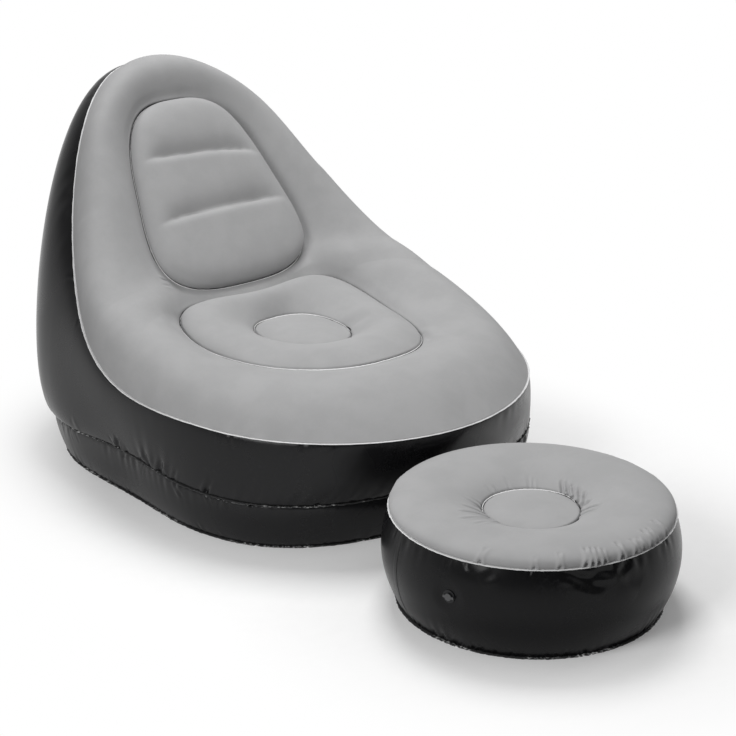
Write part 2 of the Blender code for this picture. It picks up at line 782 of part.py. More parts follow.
def make_chair_valve(wall, rows):
    """The bung valve on the flat facet at the back of the side wall."""
    middle, normal = facet(rows, 1, RING_COUNT // 2 - 1)
    frame = facing_frame(middle, normal)
    add_bore(wall, frame, NECK_RADIUS + WELD_GAP)
    holder = make_holder("chair_valve_axis", frame)
    bore = NECK_RADIUS - NECK_WALL
    low = WELD_GAP
    neck = [(bore, -NECK_DEPTH), (NECK_RADIUS, -NECK_DEPTH), (NECK_RADIUS, low), (FLANGE_RADIUS, low)]
    neck += [(FLANGE_RADIUS, low + FLANGE_THICKNESS), (NECK_RADIUS, low + FLANGE_THICKNESS)]
    neck += [(NECK_RADIUS, NECK_LIP), (bore, NECK_LIP)]
    hold(turned("chair_valve_base", neck, VALVE_BLACK, 0.4), holder)
    outer = bore - BUNG_CLEARANCE
    inner = outer - BUNG_WALL
    seat = NECK_LIP + WELD_GAP
    top = seat + BUNG_RIM
    mouth = MOUTH_RADIUS
    hub = mouth + MOUTH_WALL
    bung = [(mouth, -BUNG_DEPTH), (outer, -BUNG_DEPTH), (outer, seat), (NECK_RADIUS, seat)]
    bung += [(NECK_RADIUS, top), (hub, top), (hub, top + MOUTH_RISE), (mouth, top + MOUTH_RISE)]
    bung += [(mouth, top - BUNG_PLATE), (inner, top - BUNG_PLATE)]
    bung += [(inner, BUNG_PLATE - BUNG_DEPTH), (mouth, BUNG_PLATE - BUNG_DEPTH)]
    hold(turned("chair_valve_bung", bung, VALVE_BLACK, 0.4), holder)
    lid("chair_valve_stopper", mouth, hub + LID_OVERHANG, holder, top + MOUTH_RISE + WELD_GAP)
    flap("chair_valve_flap", mouth + FLAP_OVERLAP, holder, -BUNG_DEPTH - WELD_GAP)


def stool_place():
    x, y = STOOL_PLACE
    return Matrix.Translation((x, y, 0)) @ Matrix.Rotation(STOOL_VALVE_BEARING, 4, "Z")


def stool_wall_rows():
    """Rows of the footstool's wall; every row is level, so every face is flat."""
    low = SEAM_THICKNESS + WELD_GAP
    high = STOOL_SEAM_HEIGHT - SEAM_THICKNESS / 2 - WELD_GAP
    rows = []
    for share in STOOL_ROW_SHARES:
        swell = 4 * share * (1 - share) * STOOL_BULGE
        radius = STOOL_FLOOR_RADIUS + (STOOL_SEAM_RADIUS - STOOL_FLOOR_RADIUS) * share + swell
        rows.append(circle(radius, low + (high - low) * share, STOOL_COUNT))
    return rows


def stool_top_rows():
    """Rows from the top seam over the crown and down to the sunken centre."""
    start = Vector((STOOL_SEAM_RADIUS, STOOL_SEAM_HEIGHT + SEAM_THICKNESS / 2 + WELD_GAP))
    first = start + Vector((STOOL_CROWN_FLARE, STOOL_CROWN_RISE))
    end = Vector((STOOL_CENTRE_RADIUS + WELD_THICKNESS / 2 + WELD_GAP, STOOL_CENTRE_HEIGHT))
    second = end + Vector((STOOL_RECESS_RUN, STOOL_RECESS_RISE))
    rows = []
    for share in shares(STOOL_TOP_ROW_COUNT):
        radius, height = curve_point(start, first, second, end, share)
        rows.append(circle(radius, height, STOOL_COUNT))
    return rows


def make_stool_shell(place):
    wall = sheet("footstool_wall", stool_wall_rows(), BLACK_VINYL, 0.35)
    wall.matrix_world = place
    sheet("footstool_top", stool_top_rows(), GREY_FLOCK, 0.9).matrix_world = place
    floor = circle(STOOL_FLOOR_RADIUS, 0, STOOL_COUNT)
    loop = widened(floor, -(SEAM_WIDTH / 2 + WELD_GAP))
    slab("footstool_bottom_sheet", loop, 0, SHEET_THICKNESS, BLACK_VINYL, 0.5).matrix_world = place
    seam = circle(STOOL_SEAM_RADIUS, STOOL_SEAM_HEIGHT, STOOL_COUNT)
    flange("footstool_top_seam", seam).matrix_world = place
    flange("footstool_bottom_seam", raised(floor, SEAM_THICKNESS / 2)).matrix_world = place
    return wall


def make_stool_centre(place):
    """The sunken centre, its weld line and the upright band that holds it down."""
    loop = circle(STOOL_CENTRE_RADIUS, 0, STOOL_COUNT)
    level = place @ Matrix.Translation((0, 0, STOOL_CENTRE_HEIGHT))
    rows = domed_rows(clear_of_weld(loop, -1), STOOL_CENTRE_CROWN, CENTRE_ROW_COUNT)
    sheet("footstool_centre", rows, GREY_FLOCK, 0.9).matrix_world = level
    weld("footstool_centre_weld", loop, Matrix()).matrix_world = level
    top = STOOL_CENTRE_HEIGHT - WELD_HEIGHT / 2 - WELD_GAP
    ends = [raised(loop, SHEET_THICKNESS + WELD_GAP), raised(loop, top)]
    sheet("footstool_centre_web", ends, CLEAR_WEB, 0.4, side=0).matrix_world = place


def make_wall_lap(place):
    """The lap weld that closes the wall's band into a ring, flat on one column of faces."""
    rows = stool_wall_rows()
    apothem_share = math.cos(math.pi / STOOL_COUNT)
    half = LAP_WIDTH / 2
    strip = []
    for row in rows:
        depth = row[0].xy.length * apothem_share + WELD_GAP
        strip.append([Vector((x, -depth, row[0].z)) for x in (-half, half)])
    lap = sheet("footstool_wall_lap", strip, BLACK_VINYL, 0.3, closed=False, side=1)
    lap.matrix_world = place @ Matrix.Rotation(LAP_BEARING, 4, "Z")


def make_stool_valve(wall, place):
    """The small valve on the footstool's wall: collar, push-in stem, stopper and flap."""
    rows = stool_wall_rows()
    middle, normal = facet(rows, len(rows) // 2, STOOL_COUNT - 1)
    frame = facing_frame(place @ middle, place.to_3x3() @ normal)
    stem_hole = STEM_RADIUS + STEM_CLEARANCE
    tube = stem_hole + STEM_WALL
    add_bore(wall, frame, tube + WELD_GAP)
    holder = make_holder("footstool_valve_axis", frame)
    low = WELD_GAP
    high = low + COLLAR_THICKNESS
    collar = [(stem_hole, -COLLAR_DEPTH), (tube, -COLLAR_DEPTH), (tube, low), (COLLAR_RADIUS, low)]
    collar += [(COLLAR_RADIUS, high), (stem_hole, high)]
    hold(turned("footstool_valve_collar", collar, VALVE_BLACK, 0.4), holder)
    mouth = STEM_RADIUS - STEM_WALL
    top = high + STEM_PROUD
    stem = [(mouth, -STEM_DEPTH), (STEM_RADIUS, -STEM_DEPTH), (STEM_RADIUS, top), (mouth, top)]
    hold(turned("footstool_valve_stem", stem, VALVE_BLACK, 0.4), holder)
    lid("footstool_valve_stopper", mouth, STEM_RADIUS, holder, top + WELD_GAP)
    reach = STEM_RADIUS - STEM_CLEARANCE - FLAP_THICKNESS
    flap("footstool_valve_flap", reach, holder, -STEM_DEPTH - WELD_GAP)


def make_chair():
    make_collar()
    make_back_panel()
    make_seat()
    make_walls()
    level = make_deck()
    make_seat_webs(level)
    make_back_webs()
    make_base_ties(level)
    make_chair_valve(bpy.data.objects["chair_side_wall"], wall_rows())


def make_footstool():
    place = stool_place()
    wall = make_stool_shell(place)
    make_stool_centre(place)
    make_wall_lap(place)
    make_stool_valve(wall, place)


def main():
    clear_scene()
    make_chair()
    make_footstool()
    bpy.context.view_layer.update()


main()
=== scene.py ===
import math

import bmesh
import bpy
import numpy as np
from mathutils import Matrix, Vector
from mathutils.kdtree import KDTree


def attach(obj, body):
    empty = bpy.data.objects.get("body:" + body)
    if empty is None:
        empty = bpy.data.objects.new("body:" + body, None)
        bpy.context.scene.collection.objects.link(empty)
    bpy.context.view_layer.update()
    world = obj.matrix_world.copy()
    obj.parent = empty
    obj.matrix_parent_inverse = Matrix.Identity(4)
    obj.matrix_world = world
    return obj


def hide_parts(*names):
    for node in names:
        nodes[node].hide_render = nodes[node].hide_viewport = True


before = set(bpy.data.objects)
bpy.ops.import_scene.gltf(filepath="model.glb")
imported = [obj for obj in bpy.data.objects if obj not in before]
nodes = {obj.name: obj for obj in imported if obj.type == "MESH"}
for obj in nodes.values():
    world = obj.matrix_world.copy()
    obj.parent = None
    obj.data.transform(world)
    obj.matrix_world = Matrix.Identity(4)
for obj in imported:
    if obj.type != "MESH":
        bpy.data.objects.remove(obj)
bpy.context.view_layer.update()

# The base chamber: a low ring of black vinyl, welded to a flat sheet on the floor and to the
# deck at the waist. Both margins are pressed flat by the welding bar and pucker the skin.
SHEET = 0.0005
WELD_GAP = 0.0005
FLANGE_THICKNESS = 0.0012
FLANGE_CLEAR = FLANGE_THICKNESS / 2 + WELD_GAP
WAIST_HALF_WIDTHS = (0.554, 0.438, 0.387, 0.440, 0.569)
WAIST_PLACES = (-0.447, -0.200, 0.015, 0.235, 0.452)
WAIST_HEIGHTS = (0.086, 0.092, 0.099, 0.084, 0.078)
BASE_INSET = 0.021
BASE_BULGE = 0.008
FULLNESS = 0.4
STATIONS, STATION_STEPS = 46, 24
RING_STEPS = STATIONS * STATION_STEPS


def cubic(start, first, second, end, share):
    """A point, or a size, on a cubic curve."""
    rest = 1 - share
    return start * rest**3 + first * 3 * rest**2 * share + second * 3 * rest * share**2 + end * share**3


def eased(sizes, along):
    """A size that runs smoothly through evenly spaced stations; along is -1 to 1."""
    sizes = np.asarray(sizes, float)
    run = np.concatenate([[2 * sizes[0] - sizes[1]], sizes, [2 * sizes[-1] - sizes[-2]]])
    place = (np.asarray(along) + 1) / 2 * (len(sizes) - 1)
    step = np.clip(place.astype(int), 0, len(sizes) - 2)
    before, start, end, after = (run[step + k] for k in range(4))
    return cubic(start, start + (end - before) / 6, end - (after - start) / 6, end, place - step)


def chair_ring(turns, half_widths, places, heights):
    """A ring round the chair, counter-clockwise from its front middle."""
    along = -np.cos(turns)
    across = np.sin(turns) * eased(half_widths, along)
    return np.stack([across, eased(places, along), eased(heights, along)], 1)


def smoothed(share):
    """A share that starts and ends gently."""
    return share * share * (3 - 2 * share)


def hollow(distance, depth, width):
    """How deep a round-sided hollow is at a distance from its middle."""
    return depth * np.exp(-((distance / width) ** 2))


def unit(vectors):
    return vectors / np.maximum(np.linalg.norm(vectors, axis=-1, keepdims=True), 1e-12)


def outward_and_up(ring):
    """At each point of a ring: the way out from it, and the way across it."""
    run = unit(np.roll(ring, -1, 0) - np.roll(ring, 1, 0))
    out = unit(np.stack([run[:, 1], -run[:, 0], 0 * run[:, 0]], 1))
    return out, np.cross(out, run)


def moved(ring, out=0.0, up=0.0):
    """The ring moved outward and across itself; each distance may change along it."""
    o, u = outward_and_up(ring)
    return ring + o * np.reshape(out, (-1, 1)) + u * np.reshape(up, (-1, 1))


def facings(rows, closed=True):
    """The outward direction at every point of a net of rows."""
    if closed:
        around = np.roll(rows, -1, 1) - np.roll(rows, 1, 1)
    else:
        around = np.gradient(rows, axis=1)
    return unit(np.cross(around, np.gradient(rows, axis=0)))


def net(name, rows, closed=True):
    """A mesh through rows of points, its outer side to the right of their run."""
    count, around = rows.shape[:2]
    index = np.arange(count * around).reshape(count, around)
    after = np.roll(index, -1, 1)
    if not closed:
        index, after = index[:, :-1], after[:, :-1]
    faces = np.stack([index[:-1], after[:-1], after[1:], index[1:]], -1).reshape(-1, 4)
    mesh = bpy.data.meshes.new(name)
    mesh.from_pydata(rows.reshape(-1, 3).tolist(), [], faces.tolist())
    mesh.validate()
    obj = bpy.data.objects.new(name, mesh)
    bpy.context.scene.collection.objects.link(obj)
    return obj


def dressed(obj, look, body, node):
    """Gives a finished piece its material, sets it on the body it rides on, and hides the solid it stands
    for.
    """
    obj.data.materials.append(look)
    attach(obj, body)
    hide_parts(node)


def refinished(look, *names):
    """Gives solids that keep their shape their own material."""
    for name in names:
        nodes[name].data.materials.clear()
        nodes[name].data.materials.append(look)


def skin(obj, thickness=SHEET):
    """Makes an open mesh a welded sheet: smooth, crisp at its cut edges, thick on its inner side."""
    shape = bmesh.new()
    shape.from_mesh(obj.data)
    for face in shape.faces:
        face.smooth = True
    for edge in shape.edges:
        edge.smooth = not edge.is_boundary
    shape.to_mesh(obj.data)
    shape.free()
    layer = obj.modifiers.new("thickness", "SOLIDIFY")
    layer.thickness = thickness
    layer.offset = -1
    return obj


def bulged(lower, upper, bulge, shares, lean=1.0):
    """Rows of a wall that swells outward between two rings, fuller toward one of them as wished."""
    out, _ = outward_and_up(upper)
    leant = shares**lean
    swell = (4 * leant * (1 - leant)) ** FULLNESS
    middle = lower + (upper - lower) * shares[:, None, None]
    return middle + out * (bulge * swell[:, None])[..., None]


def rowed(count, toward_ends=0.0):
    """Shares from 0 to 1, closer together toward both ends as wished."""
    even = np.linspace(0, 1, count + 1)
    return (1 - toward_ends) * even + toward_ends * (1 - np.cos(math.pi * even)) / 2


def waves(turns, counts, seed):
    """An uneven line round a closed ring, about -1 to 1, from a few whole numbers of waves."""
    draw = np.random.default_rng(seed)
    total = sum(np.sin(count * turns + draw.uniform(0, math.tau)) for count in counts)
    return total / math.sqrt(len(counts))


PUCKER_GROUPS, GROUP_SEED_STEP = (3, 7, 12), 50
GROUP_LEVEL, GROUP_SWING, GROUP_MOST = 0.45, 0.6, 1.3


def puckered(rows, turns, depth, reach, counts, seed, top=True):
    """Puckers a wall in groups where the weld gathers it, dying away from its top or bottom edge."""
    edge = rows[-1] if top else rows[0]
    away = np.linalg.norm(rows - edge, axis=2)
    groups = GROUP_LEVEL + GROUP_SWING * waves(turns, PUCKER_GROUPS, seed + GROUP_SEED_STEP)
    groups = np.clip(groups, 0, GROUP_MOST) ** 2
    lines = waves(turns, counts, seed) * groups
    swell = np.minimum(away / reach, 1) * np.exp(1 - away / reach)
    return rows + facings(rows) * (depth * swell * lines)[..., None]


RIDGE_PLACE = 1.9


def pressed(rows, facing, creases, loose=False, ridge=0.45):
    """Presses creases into a skin, each with a ridge beside it.

    A crease is its deep end, the end where it fades, its width and its depth.
    A loose one fades at both ends.
    """
    press = np.zeros(rows.shape[:-1])
    for start, end, width, depth in creases:
        start, run = np.array(start), np.array(end) - np.array(start)
        share = np.clip((rows - start) @ run / (run @ run), 0, 1)
        away = np.linalg.norm(rows - start - share[..., None] * run, axis=-1)
        fade = np.sin(math.pi * share) if loose else np.cos(math.pi / 2 * share) ** 0.7
        press -= hollow(away, depth * fade, width)
        press += ridge * depth * fade * np.exp(-((away / width - RIDGE_PLACE) ** 2))
    return rows + facing * press[..., None]


def creased(rows, creases, closed=True, loose=False):
    return pressed(rows, facings(rows, closed), creases, loose)


GATHER_DRIFT = 6


def gathered(rows, draw, number, reach, width, depth, top=True, spots=None):
    """Short creases across a welded edge, drawn by chance, each from the edge inward."""
    creases = []
    count, around = rows.shape[:2]
    for _ in range(number):
        column = int(draw.integers(around)) if spots is None else int(draw.choice(spots))
        length = draw.uniform(0.4, 1.0) * reach
        drift = int(draw.integers(-GATHER_DRIFT, GATHER_DRIFT + 1))
        line = rows[::-1, column] if top else rows[:, column]
        runs = np.linalg.norm(line - line[0], axis=1)
        row = int(np.searchsorted(runs, length))
        row = min(max(row, 2), count - 1)
        far = rows[::-1] if top else rows
        end = far[row, (column + drift) % around]
        creases.append((line[0], end, width * draw.uniform(0.7, 1.3), depth * draw.uniform(0.5, 1.0)))
    return creased(rows, creases)


def closed_strip(name, sides):
    """A strip that closes both along its run and round its profile, whose rings are its sides."""
    obj = net(name, np.array([*sides, sides[0]]))
    shape = bmesh.new()
    shape.from_mesh(obj.data)
    bmesh.ops.remove_doubles(shape, verts=shape.verts, dist=1e-6)
    bmesh.ops.recalc_face_normals(shape, faces=shape.faces)
    for face in shape.faces:
        face.smooth = True
    shape.to_mesh(obj.data)
    shape.free()
    return obj


FLANGE_SIDES, FLANGE_FLATNESS, LIP_ROUNDNESS = 20, 0.35, 0.8


def flange(name, ring, outs):
    """A welded margin: a flat closed strip with rounded lips; outs is its half width."""
    sides = []
    for turn in np.linspace(0, math.tau, FLANGE_SIDES, endpoint=False):
        across = math.copysign(abs(math.cos(turn)) ** FLANGE_FLATNESS, math.cos(turn))
        height = math.copysign(abs(math.sin(turn)) ** LIP_ROUNDNESS, math.sin(turn))
        sides.append(moved(ring, across * outs, height * (FLANGE_THICKNESS / 2)))
    return closed_strip(name, sides)


def new_group(name, inputs, outputs):
    """An empty shader group with its sockets; gives the group and its two ends."""
    group = bpy.data.node_groups.new(name, "ShaderNodeTree")
    for label, kind, value in inputs:
        socket = group.interface.new_socket(label, in_out="INPUT", socket_type=kind)
        socket.default_value = value
    for label, kind in outputs:
        group.interface.new_socket(label, in_out="OUTPUT", socket_type=kind)
    return group, group.nodes.new("NodeGroupInput"), group.nodes.new("NodeGroupOutput")


def noise(tree, place, scale, detail=3.0, roughness=0.5):
    """Clouded noise, 0 to 1; its scale is a number or comes from a socket."""
    texture = tree.nodes.new("ShaderNodeTexNoise")
    texture.inputs["Detail"].default_value = detail
    texture.inputs["Roughness"].default_value = roughness
    tree.links.new(place, texture.inputs["Vector"])
    if isinstance(scale, (int, float)):
        texture.inputs["Scale"].default_value = scale
    else:
        tree.links.new(scale, texture.inputs["Scale"])
    return texture.outputs["Fac"]


def reckon(tree, operation, first, second, clamp=False):
    """One sum on two values, each a number or a socket."""
    step = tree.nodes.new("ShaderNodeMath")
    step.operation = operation
    step.use_clamp = clamp
    for socket, value in zip(step.inputs, (first, second)):
        if isinstance(value, (int, float)):
            socket.default_value = value
        else:
            tree.links.new(value, socket)
    return step.outputs["Value"]


def stretched(tree, value, low, high, to_low=0.0, to_high=1.0):
    """Spreads a value's range from low to high smoothly over another range."""
    step = tree.nodes.new("ShaderNodeMapRange")
    step.interpolation_type = "SMOOTHSTEP"
    tree.links.new(value, step.inputs["Value"])
    for label, size in (("From Min", low), ("From Max", high), ("To Min", to_low), ("To Max", to_high)):
        step.inputs[label].default_value = size
    return step.outputs["Result"]


def mixed(tree, share, first, second):
    """Mixes two colours, each three numbers or a socket."""
    step = tree.nodes.new("ShaderNodeMix")
    step.data_type = "RGBA"
    tree.links.new(share, step.inputs["Factor"])
    for label, value in (("A", first), ("B", second)):
        socket = next(s for s in step.inputs if s.name == label and s.type == "RGBA")
        if isinstance(value, tuple):
            socket.default_value = (*value, 1)
        else:
            tree.links.new(value, socket)
    return next(s for s in step.outputs if s.type == "RGBA")


def position(tree):
    return tree.nodes.new("ShaderNodeNewGeometry").outputs["Position"]


# Vinyl sheet is calendered: hot rolls press it out and leave a faint orange peel on its gloss. Air
# pressure then stretches it a little unevenly, which shows as slow waves in what it mirrors.
vinyl_grain, grain_in, grain_out = new_group(
    "vinyl grain",
    [("Peel Scale", "NodeSocketFloat", 700.0), ("Peel Height", "NodeSocketFloat", 0.00002),
     ("Wave Height", "NodeSocketFloat", 0.0003)],
    [("Height", "NodeSocketFloat"), ("Unevenness", "NodeSocketFloat")],
)
spot = position(vinyl_grain)
peel = reckon(vinyl_grain, "MULTIPLY", noise(vinyl_grain, spot, grain_in.outputs["Peel Scale"], detail=2.0),
              grain_in.outputs["Peel Height"])
slow = noise(vinyl_grain, spot, scale=11.0, detail=2.0, roughness=0.4)
swell = reckon(vinyl_grain, "MULTIPLY", slow, grain_in.outputs["Wave Height"])
vinyl_grain.links.new(reckon(vinyl_grain, "ADD", peel, swell), grain_out.inputs["Height"])
vinyl_grain.links.new(slow, grain_out.inputs["Unevenness"])

# Handling rubs the gloss off and dust settles on it: every dark piece shows paler, duller patches,
# broken up into fine streaks. On the pressed welds the same streaks are pale and many: painted glints.
handling, handling_in, handling_out = new_group(
    "handling marks", [("Amount", "NodeSocketFloat", 0.2), ("Patch Scale", "NodeSocketFloat", 9.0)],
    [("Mask", "NodeSocketFloat")],
)
spot = position(handling)
patches = noise(handling, spot, handling_in.outputs["Patch Scale"], detail=5.0, roughness=0.6)
patches = stretched(handling, patches, 0.45, 0.75)
streaks = stretched(handling, noise(handling, spot, scale=160.0, detail=4.0, roughness=0.7), 0.48, 0.72)
rubbed = reckon(handling, "MULTIPLY", patches, streaks)
rubbed = reckon(handling, "MULTIPLY", rubbed, handling_in.outputs["Amount"])
handling.links.new(rubbed, handling_out.inputs["Mask"])


def placed_group(tree, group, **values):
    """Places a group in a material, with its own value in each socket that is named."""
    node = tree.nodes.new("ShaderNodeGroup")
    node.node_tree = group
    for label, value in values.items():
        node.inputs[label.replace("_", " ").title()].default_value = value
    return node


def new_look(name):
    """A fresh material, with its tree and its shader."""
    look = bpy.data.materials.new(name)
    look.use_nodes = True
    return look, look.node_tree, look.node_tree.nodes["Principled BSDF"]


def embossed(tree, shader, height, strength=1.0):
    """Stands a height in metres out as relief on the shader."""
    bump = tree.nodes.new("ShaderNodeBump")
    bump.inputs["Distance"].default_value = 1.0
    bump.inputs["Strength"].default_value = strength
    tree.links.new(height, bump.inputs["Height"])
    tree.links.new(bump.outputs["Normal"], shader.inputs["Normal"])


GLOSSIER, DULLER, RUB_DULLING = 0.04, 0.05, 0.5


def vinyl(name, colour, rubbed_and_glint_colour, roughness, wave_height=0.0003, marks=0.25, peel_scale=700.0,
          shine=0.24):
    """A calendered vinyl: colour and gloss rubbed in patches, with peel and slow waves as relief. A pale
    rubbed colour makes the patches painted glints.
    """
    look, tree, shader = new_look(name)
    shader.inputs["Specular IOR Level"].default_value = shine
    grain = placed_group(tree, vinyl_grain, peel_scale=peel_scale, wave_height=wave_height)
    rubs = placed_group(tree, handling, amount=marks)
    tree.links.new(mixed(tree, rubs.outputs["Mask"], colour, rubbed_and_glint_colour), shader.inputs["Base Color"])
    gloss = stretched(tree, grain.outputs["Unevenness"], 0.3, 0.7, roughness - GLOSSIER, roughness + DULLER)
    gloss = reckon(tree, "ADD", gloss, reckon(tree, "MULTIPLY", rubs.outputs["Mask"], RUB_DULLING))
    tree.links.new(gloss, shader.inputs["Roughness"])
    embossed(tree, shader, grain.outputs["Height"])
    return look


black_vinyl = vinyl("black vinyl", (0.0080, 0.0080, 0.0087), (0.035, 0.035, 0.037), roughness=0.28)
# A darker, less shiny copy of the black vinyl: painted shade on the footstool's wall and lap.
stool_vinyl_shaded = vinyl("black footstool vinyl, shaded copy", (0.0050, 0.0050, 0.0055), (0.030, 0.030, 0.032), roughness=0.26,
                    shine=0.15)
# The pressed welds' rubbed patches are pale and strong: painted glints along the seams, on top of some rubbed
# wear.
pressed_black_painted_glints = vinyl("pressed black weld with painted glints", (0.045, 0.045, 0.046), (0.80, 0.80, 0.80), roughness=0.22,
                      marks=3.0)

# The net's points fall on the solids' own stations, several steps to each. The wall between the two
# welds swells a little, and the welding bar's pull gathers it along both, more at the marked places.
turns = (np.arange(RING_STEPS) / STATION_STEPS + 0.5) * math.tau / STATIONS
along = -np.cos(turns)
waist = chair_ring(turns, WAIST_HALF_WIDTHS, WAIST_PLACES, WAIST_HEIGHTS)
floor_line = moved(waist, -BASE_INSET)
floor_line[:, 2] = 0
foot = floor_line + (0, 0, FLANGE_THICKNESS + WELD_GAP)
rows = bulged(foot, moved(waist, up=-FLANGE_CLEAR), BASE_BULGE, rowed(32, toward_ends=0.9))
rows = puckered(rows, turns, depth=0.0008, reach=0.012, counts=(61, 83, 112, 140), seed=3)
rows = puckered(rows, turns, depth=0.0007, reach=0.010, counts=(58, 71, 101, 126), seed=4, top=False)
draw = np.random.default_rng(5)
rows = gathered(rows, draw, 30, reach=0.026, width=0.0030, depth=0.0014)
rows = gathered(rows, draw, 34, reach=0.022, width=0.0028, depth=0.0013, top=False)
BASE_CREASES = [
    ((-0.386, -0.157, 0.089), (-0.384, -0.172, 0.070), 0.0040, 0.0030),
    ((-0.371, -0.232, 0.089), (-0.368, -0.240, 0.074), 0.0034, 0.0022),
    ((-0.355, -0.271, 0.088), (-0.353, -0.276, 0.075), 0.0040, 0.0026),
    ((-0.333, -0.312, 0.090), (-0.330, -0.314, 0.078), 0.0040, 0.0028),
]
rows = creased(rows, BASE_CREASES)
dressed(skin(net("base_wall", rows)), black_vinyl, "chair_shell", "chair_base_wall")
refinished(black_vinyl, "chair_bottom_sheet")

# Both margins of the base chamber are trimmed just outside the weld, so their edges are ragged. The
# waist's margin stands free in the air and droops a little here and there. The pale streaks on both
# margins are painted glints, on top of some rubbed wear.
FOOT_SEAM_HALF, FOOT_SEAM_RAGGED = 0.0062, 0.0006
WAIST_SEAM_HALF, WAIST_SEAM_RAGGED, WAIST_DROOP = 0.0046, 0.0008, 0.0004
ragged = FOOT_SEAM_HALF + FOOT_SEAM_RAGGED * waves(turns, (37, 90, 151, 210), 6)
foot_seam = flange("foot_seam", floor_line + (0, 0, FLANGE_THICKNESS / 2), ragged)
dressed(foot_seam, pressed_black_painted_glints, "chair_shell", "chair_bottom_seam")
droop = WAIST_DROOP * waves(turns, (44, 97, 135), 8)
ragged = WAIST_SEAM_HALF + WAIST_SEAM_RAGGED * waves(turns, (41, 77, 133, 190), 7)
waist_seam = flange("waist_seam", moved(waist, up=droop), ragged)
dressed(waist_seam, pressed_black_painted_glints, "chair_shell", "chair_waist_seam")

# The side wall: one band of black vinyl from the waist to the top seam, tallest and fullest at
# the back. It lies flat round the valve's flange, where a round hole is punched for the neck.
SEAM_HALF_WIDTHS = (0.436, 0.415, 0.383, 0.339, 0.308)
SEAM_PLACES = (-0.499, -0.225, 0.073, 0.313, 0.527)
SEAM_HEIGHTS = (0.210, 0.212, 0.232, 0.363, 0.689)
WALL_BULGES = (0.007, 0.005, 0.014, 0.039, 0.085)
WALL_LEAN = 1.1
CHAIR_VALVE_PLACE = np.array((0, 0.520981, 0.175375))
CHAIR_VALVE_FACING = np.array((0, 0.93455, -0.355831))
CHAIR_HOLE_RADIUS, CHAIR_FLAT_RADIUS, CHAIR_FLAT_EDGE = 0.0172, 0.027, 0.070
OTHER_SIDE = 0.05


def flattened(rows, place, facing, flat_radius, flat_edge):
    """Draws a skin flat round a valve: onto its plane near the axis, and easing off outside."""
    off = (rows - place) @ facing
    across = np.linalg.norm(rows - place - off[..., None] * facing, axis=2)
    share = smoothed(1 - np.clip((across - flat_radius) / (flat_edge - flat_radius), 0, 1))
    share[np.abs(off) > OTHER_SIDE] = 0
    return rows - (off * share)[..., None] * facing


def punched(obj, place, facing, radius):
    """A round hole through a skin: faces inside go, and the rim is drawn onto the circle."""
    shape = bmesh.new()
    shape.from_mesh(obj.data)
    place, facing = Vector(place), Vector(facing)

    def off_axis(point):
        gap = point - place
        return gap - facing * gap.dot(facing)

    gone = [f for f in shape.faces if (f.calc_center_median() - place).length < radius]
    rim = {v for f in gone for v in f.verts}
    bmesh.ops.delete(shape, geom=gone, context="FACES")
    for vert in rim:
        if vert.is_valid and vert.is_boundary:
            out = off_axis(vert.co)
            vert.co += out * (radius / max(out.length, 1e-6) - 1)
    shape.to_mesh(obj.data)
    shape.free()
    return obj


seam = chair_ring(turns, SEAM_HALF_WIDTHS, SEAM_PLACES, SEAM_HEIGHTS)
rows = bulged(moved(waist, up=FLANGE_CLEAR), moved(seam, up=-FLANGE_CLEAR), eased(WALL_BULGES, along),
              rowed(78, toward_ends=0.85), WALL_LEAN)
rows = puckered(rows, turns, depth=0.0004, reach=0.016, counts=(43, 61, 83, 97), seed=11)
rows = puckered(rows, turns, depth=0.0012, reach=0.018, counts=(47, 66, 81, 113), seed=12, top=False)
draw = np.random.default_rng(13)
rows = gathered(rows, draw, 12, reach=0.028, width=0.0040, depth=0.0009)
rows = gathered(rows, draw, 38, reach=0.038, width=0.0040, depth=0.0020, top=False)
WALL_CREASES = [
    ((-0.388, 0.028, 0.096), (-0.396, 0.019, 0.124), 0.0060, 0.0030),
    ((-0.389, -0.107, 0.097), (-0.391, -0.122, 0.128), 0.0055, 0.0030),
    ((-0.372, -0.228, 0.096), (-0.380, -0.240, 0.116), 0.0045, 0.0020),
]
rows = creased(rows, WALL_CREASES)
rows = flattened(rows, CHAIR_VALVE_PLACE, CHAIR_VALVE_FACING, CHAIR_FLAT_RADIUS, CHAIR_FLAT_EDGE)
side_wall = punched(net("side_wall", rows), CHAIR_VALVE_PLACE, CHAIR_VALVE_FACING, CHAIR_HOLE_RADIUS)
dressed(skin(side_wall), black_vinyl, "chair_shell", "chair_side_wall")

# The top seam joins the black wall to the grey top. The welding bar leaves two raised lines in the
# pale margin: a higher one outside and a lower one inside.
SEAM_HALF, SEAM_WANDER, SEAM_BED = 0.0036, 0.0003, 0.0001
SEAM_RIBS = ((0.55, 0.00075), (-0.35, 0.00055))
SEAM_RIB_SHARE = 0.3


def double_seam(name, ring, turns, seed):
    """A welded margin with two rounded ribs and a groove between them."""
    wander = waves(turns, (29, 67, 118), seed) * SEAM_WANDER
    profile = []
    for step in np.linspace(-1, 1, 15):
        rib = sum(hollow(step - place, height, SEAM_RIB_SHARE) for place, height in SEAM_RIBS)
        profile.append((step * SEAM_HALF, SEAM_BED + rib))
    lip, underside = -FLANGE_THICKNESS / 4, -FLANGE_THICKNESS / 2
    profile += [(SEAM_HALF * 1.02, lip), (SEAM_HALF * 0.9, underside)]
    profile += [(-SEAM_HALF * 0.9, underside), (-SEAM_HALF, lip)]
    return closed_strip(name, [moved(ring, out + wander, up) for out, up in profile])


pale_weld = vinyl("pale weld", (0.78, 0.78, 0.785), (0.40, 0.40, 0.405), roughness=0.30, marks=0.7,
                  peel_scale=1500.0)
top_seam = double_seam("top_seam", seam, turns, seed=21)
dressed(top_seam, pale_weld, "chair_shell", "chair_top_seam")

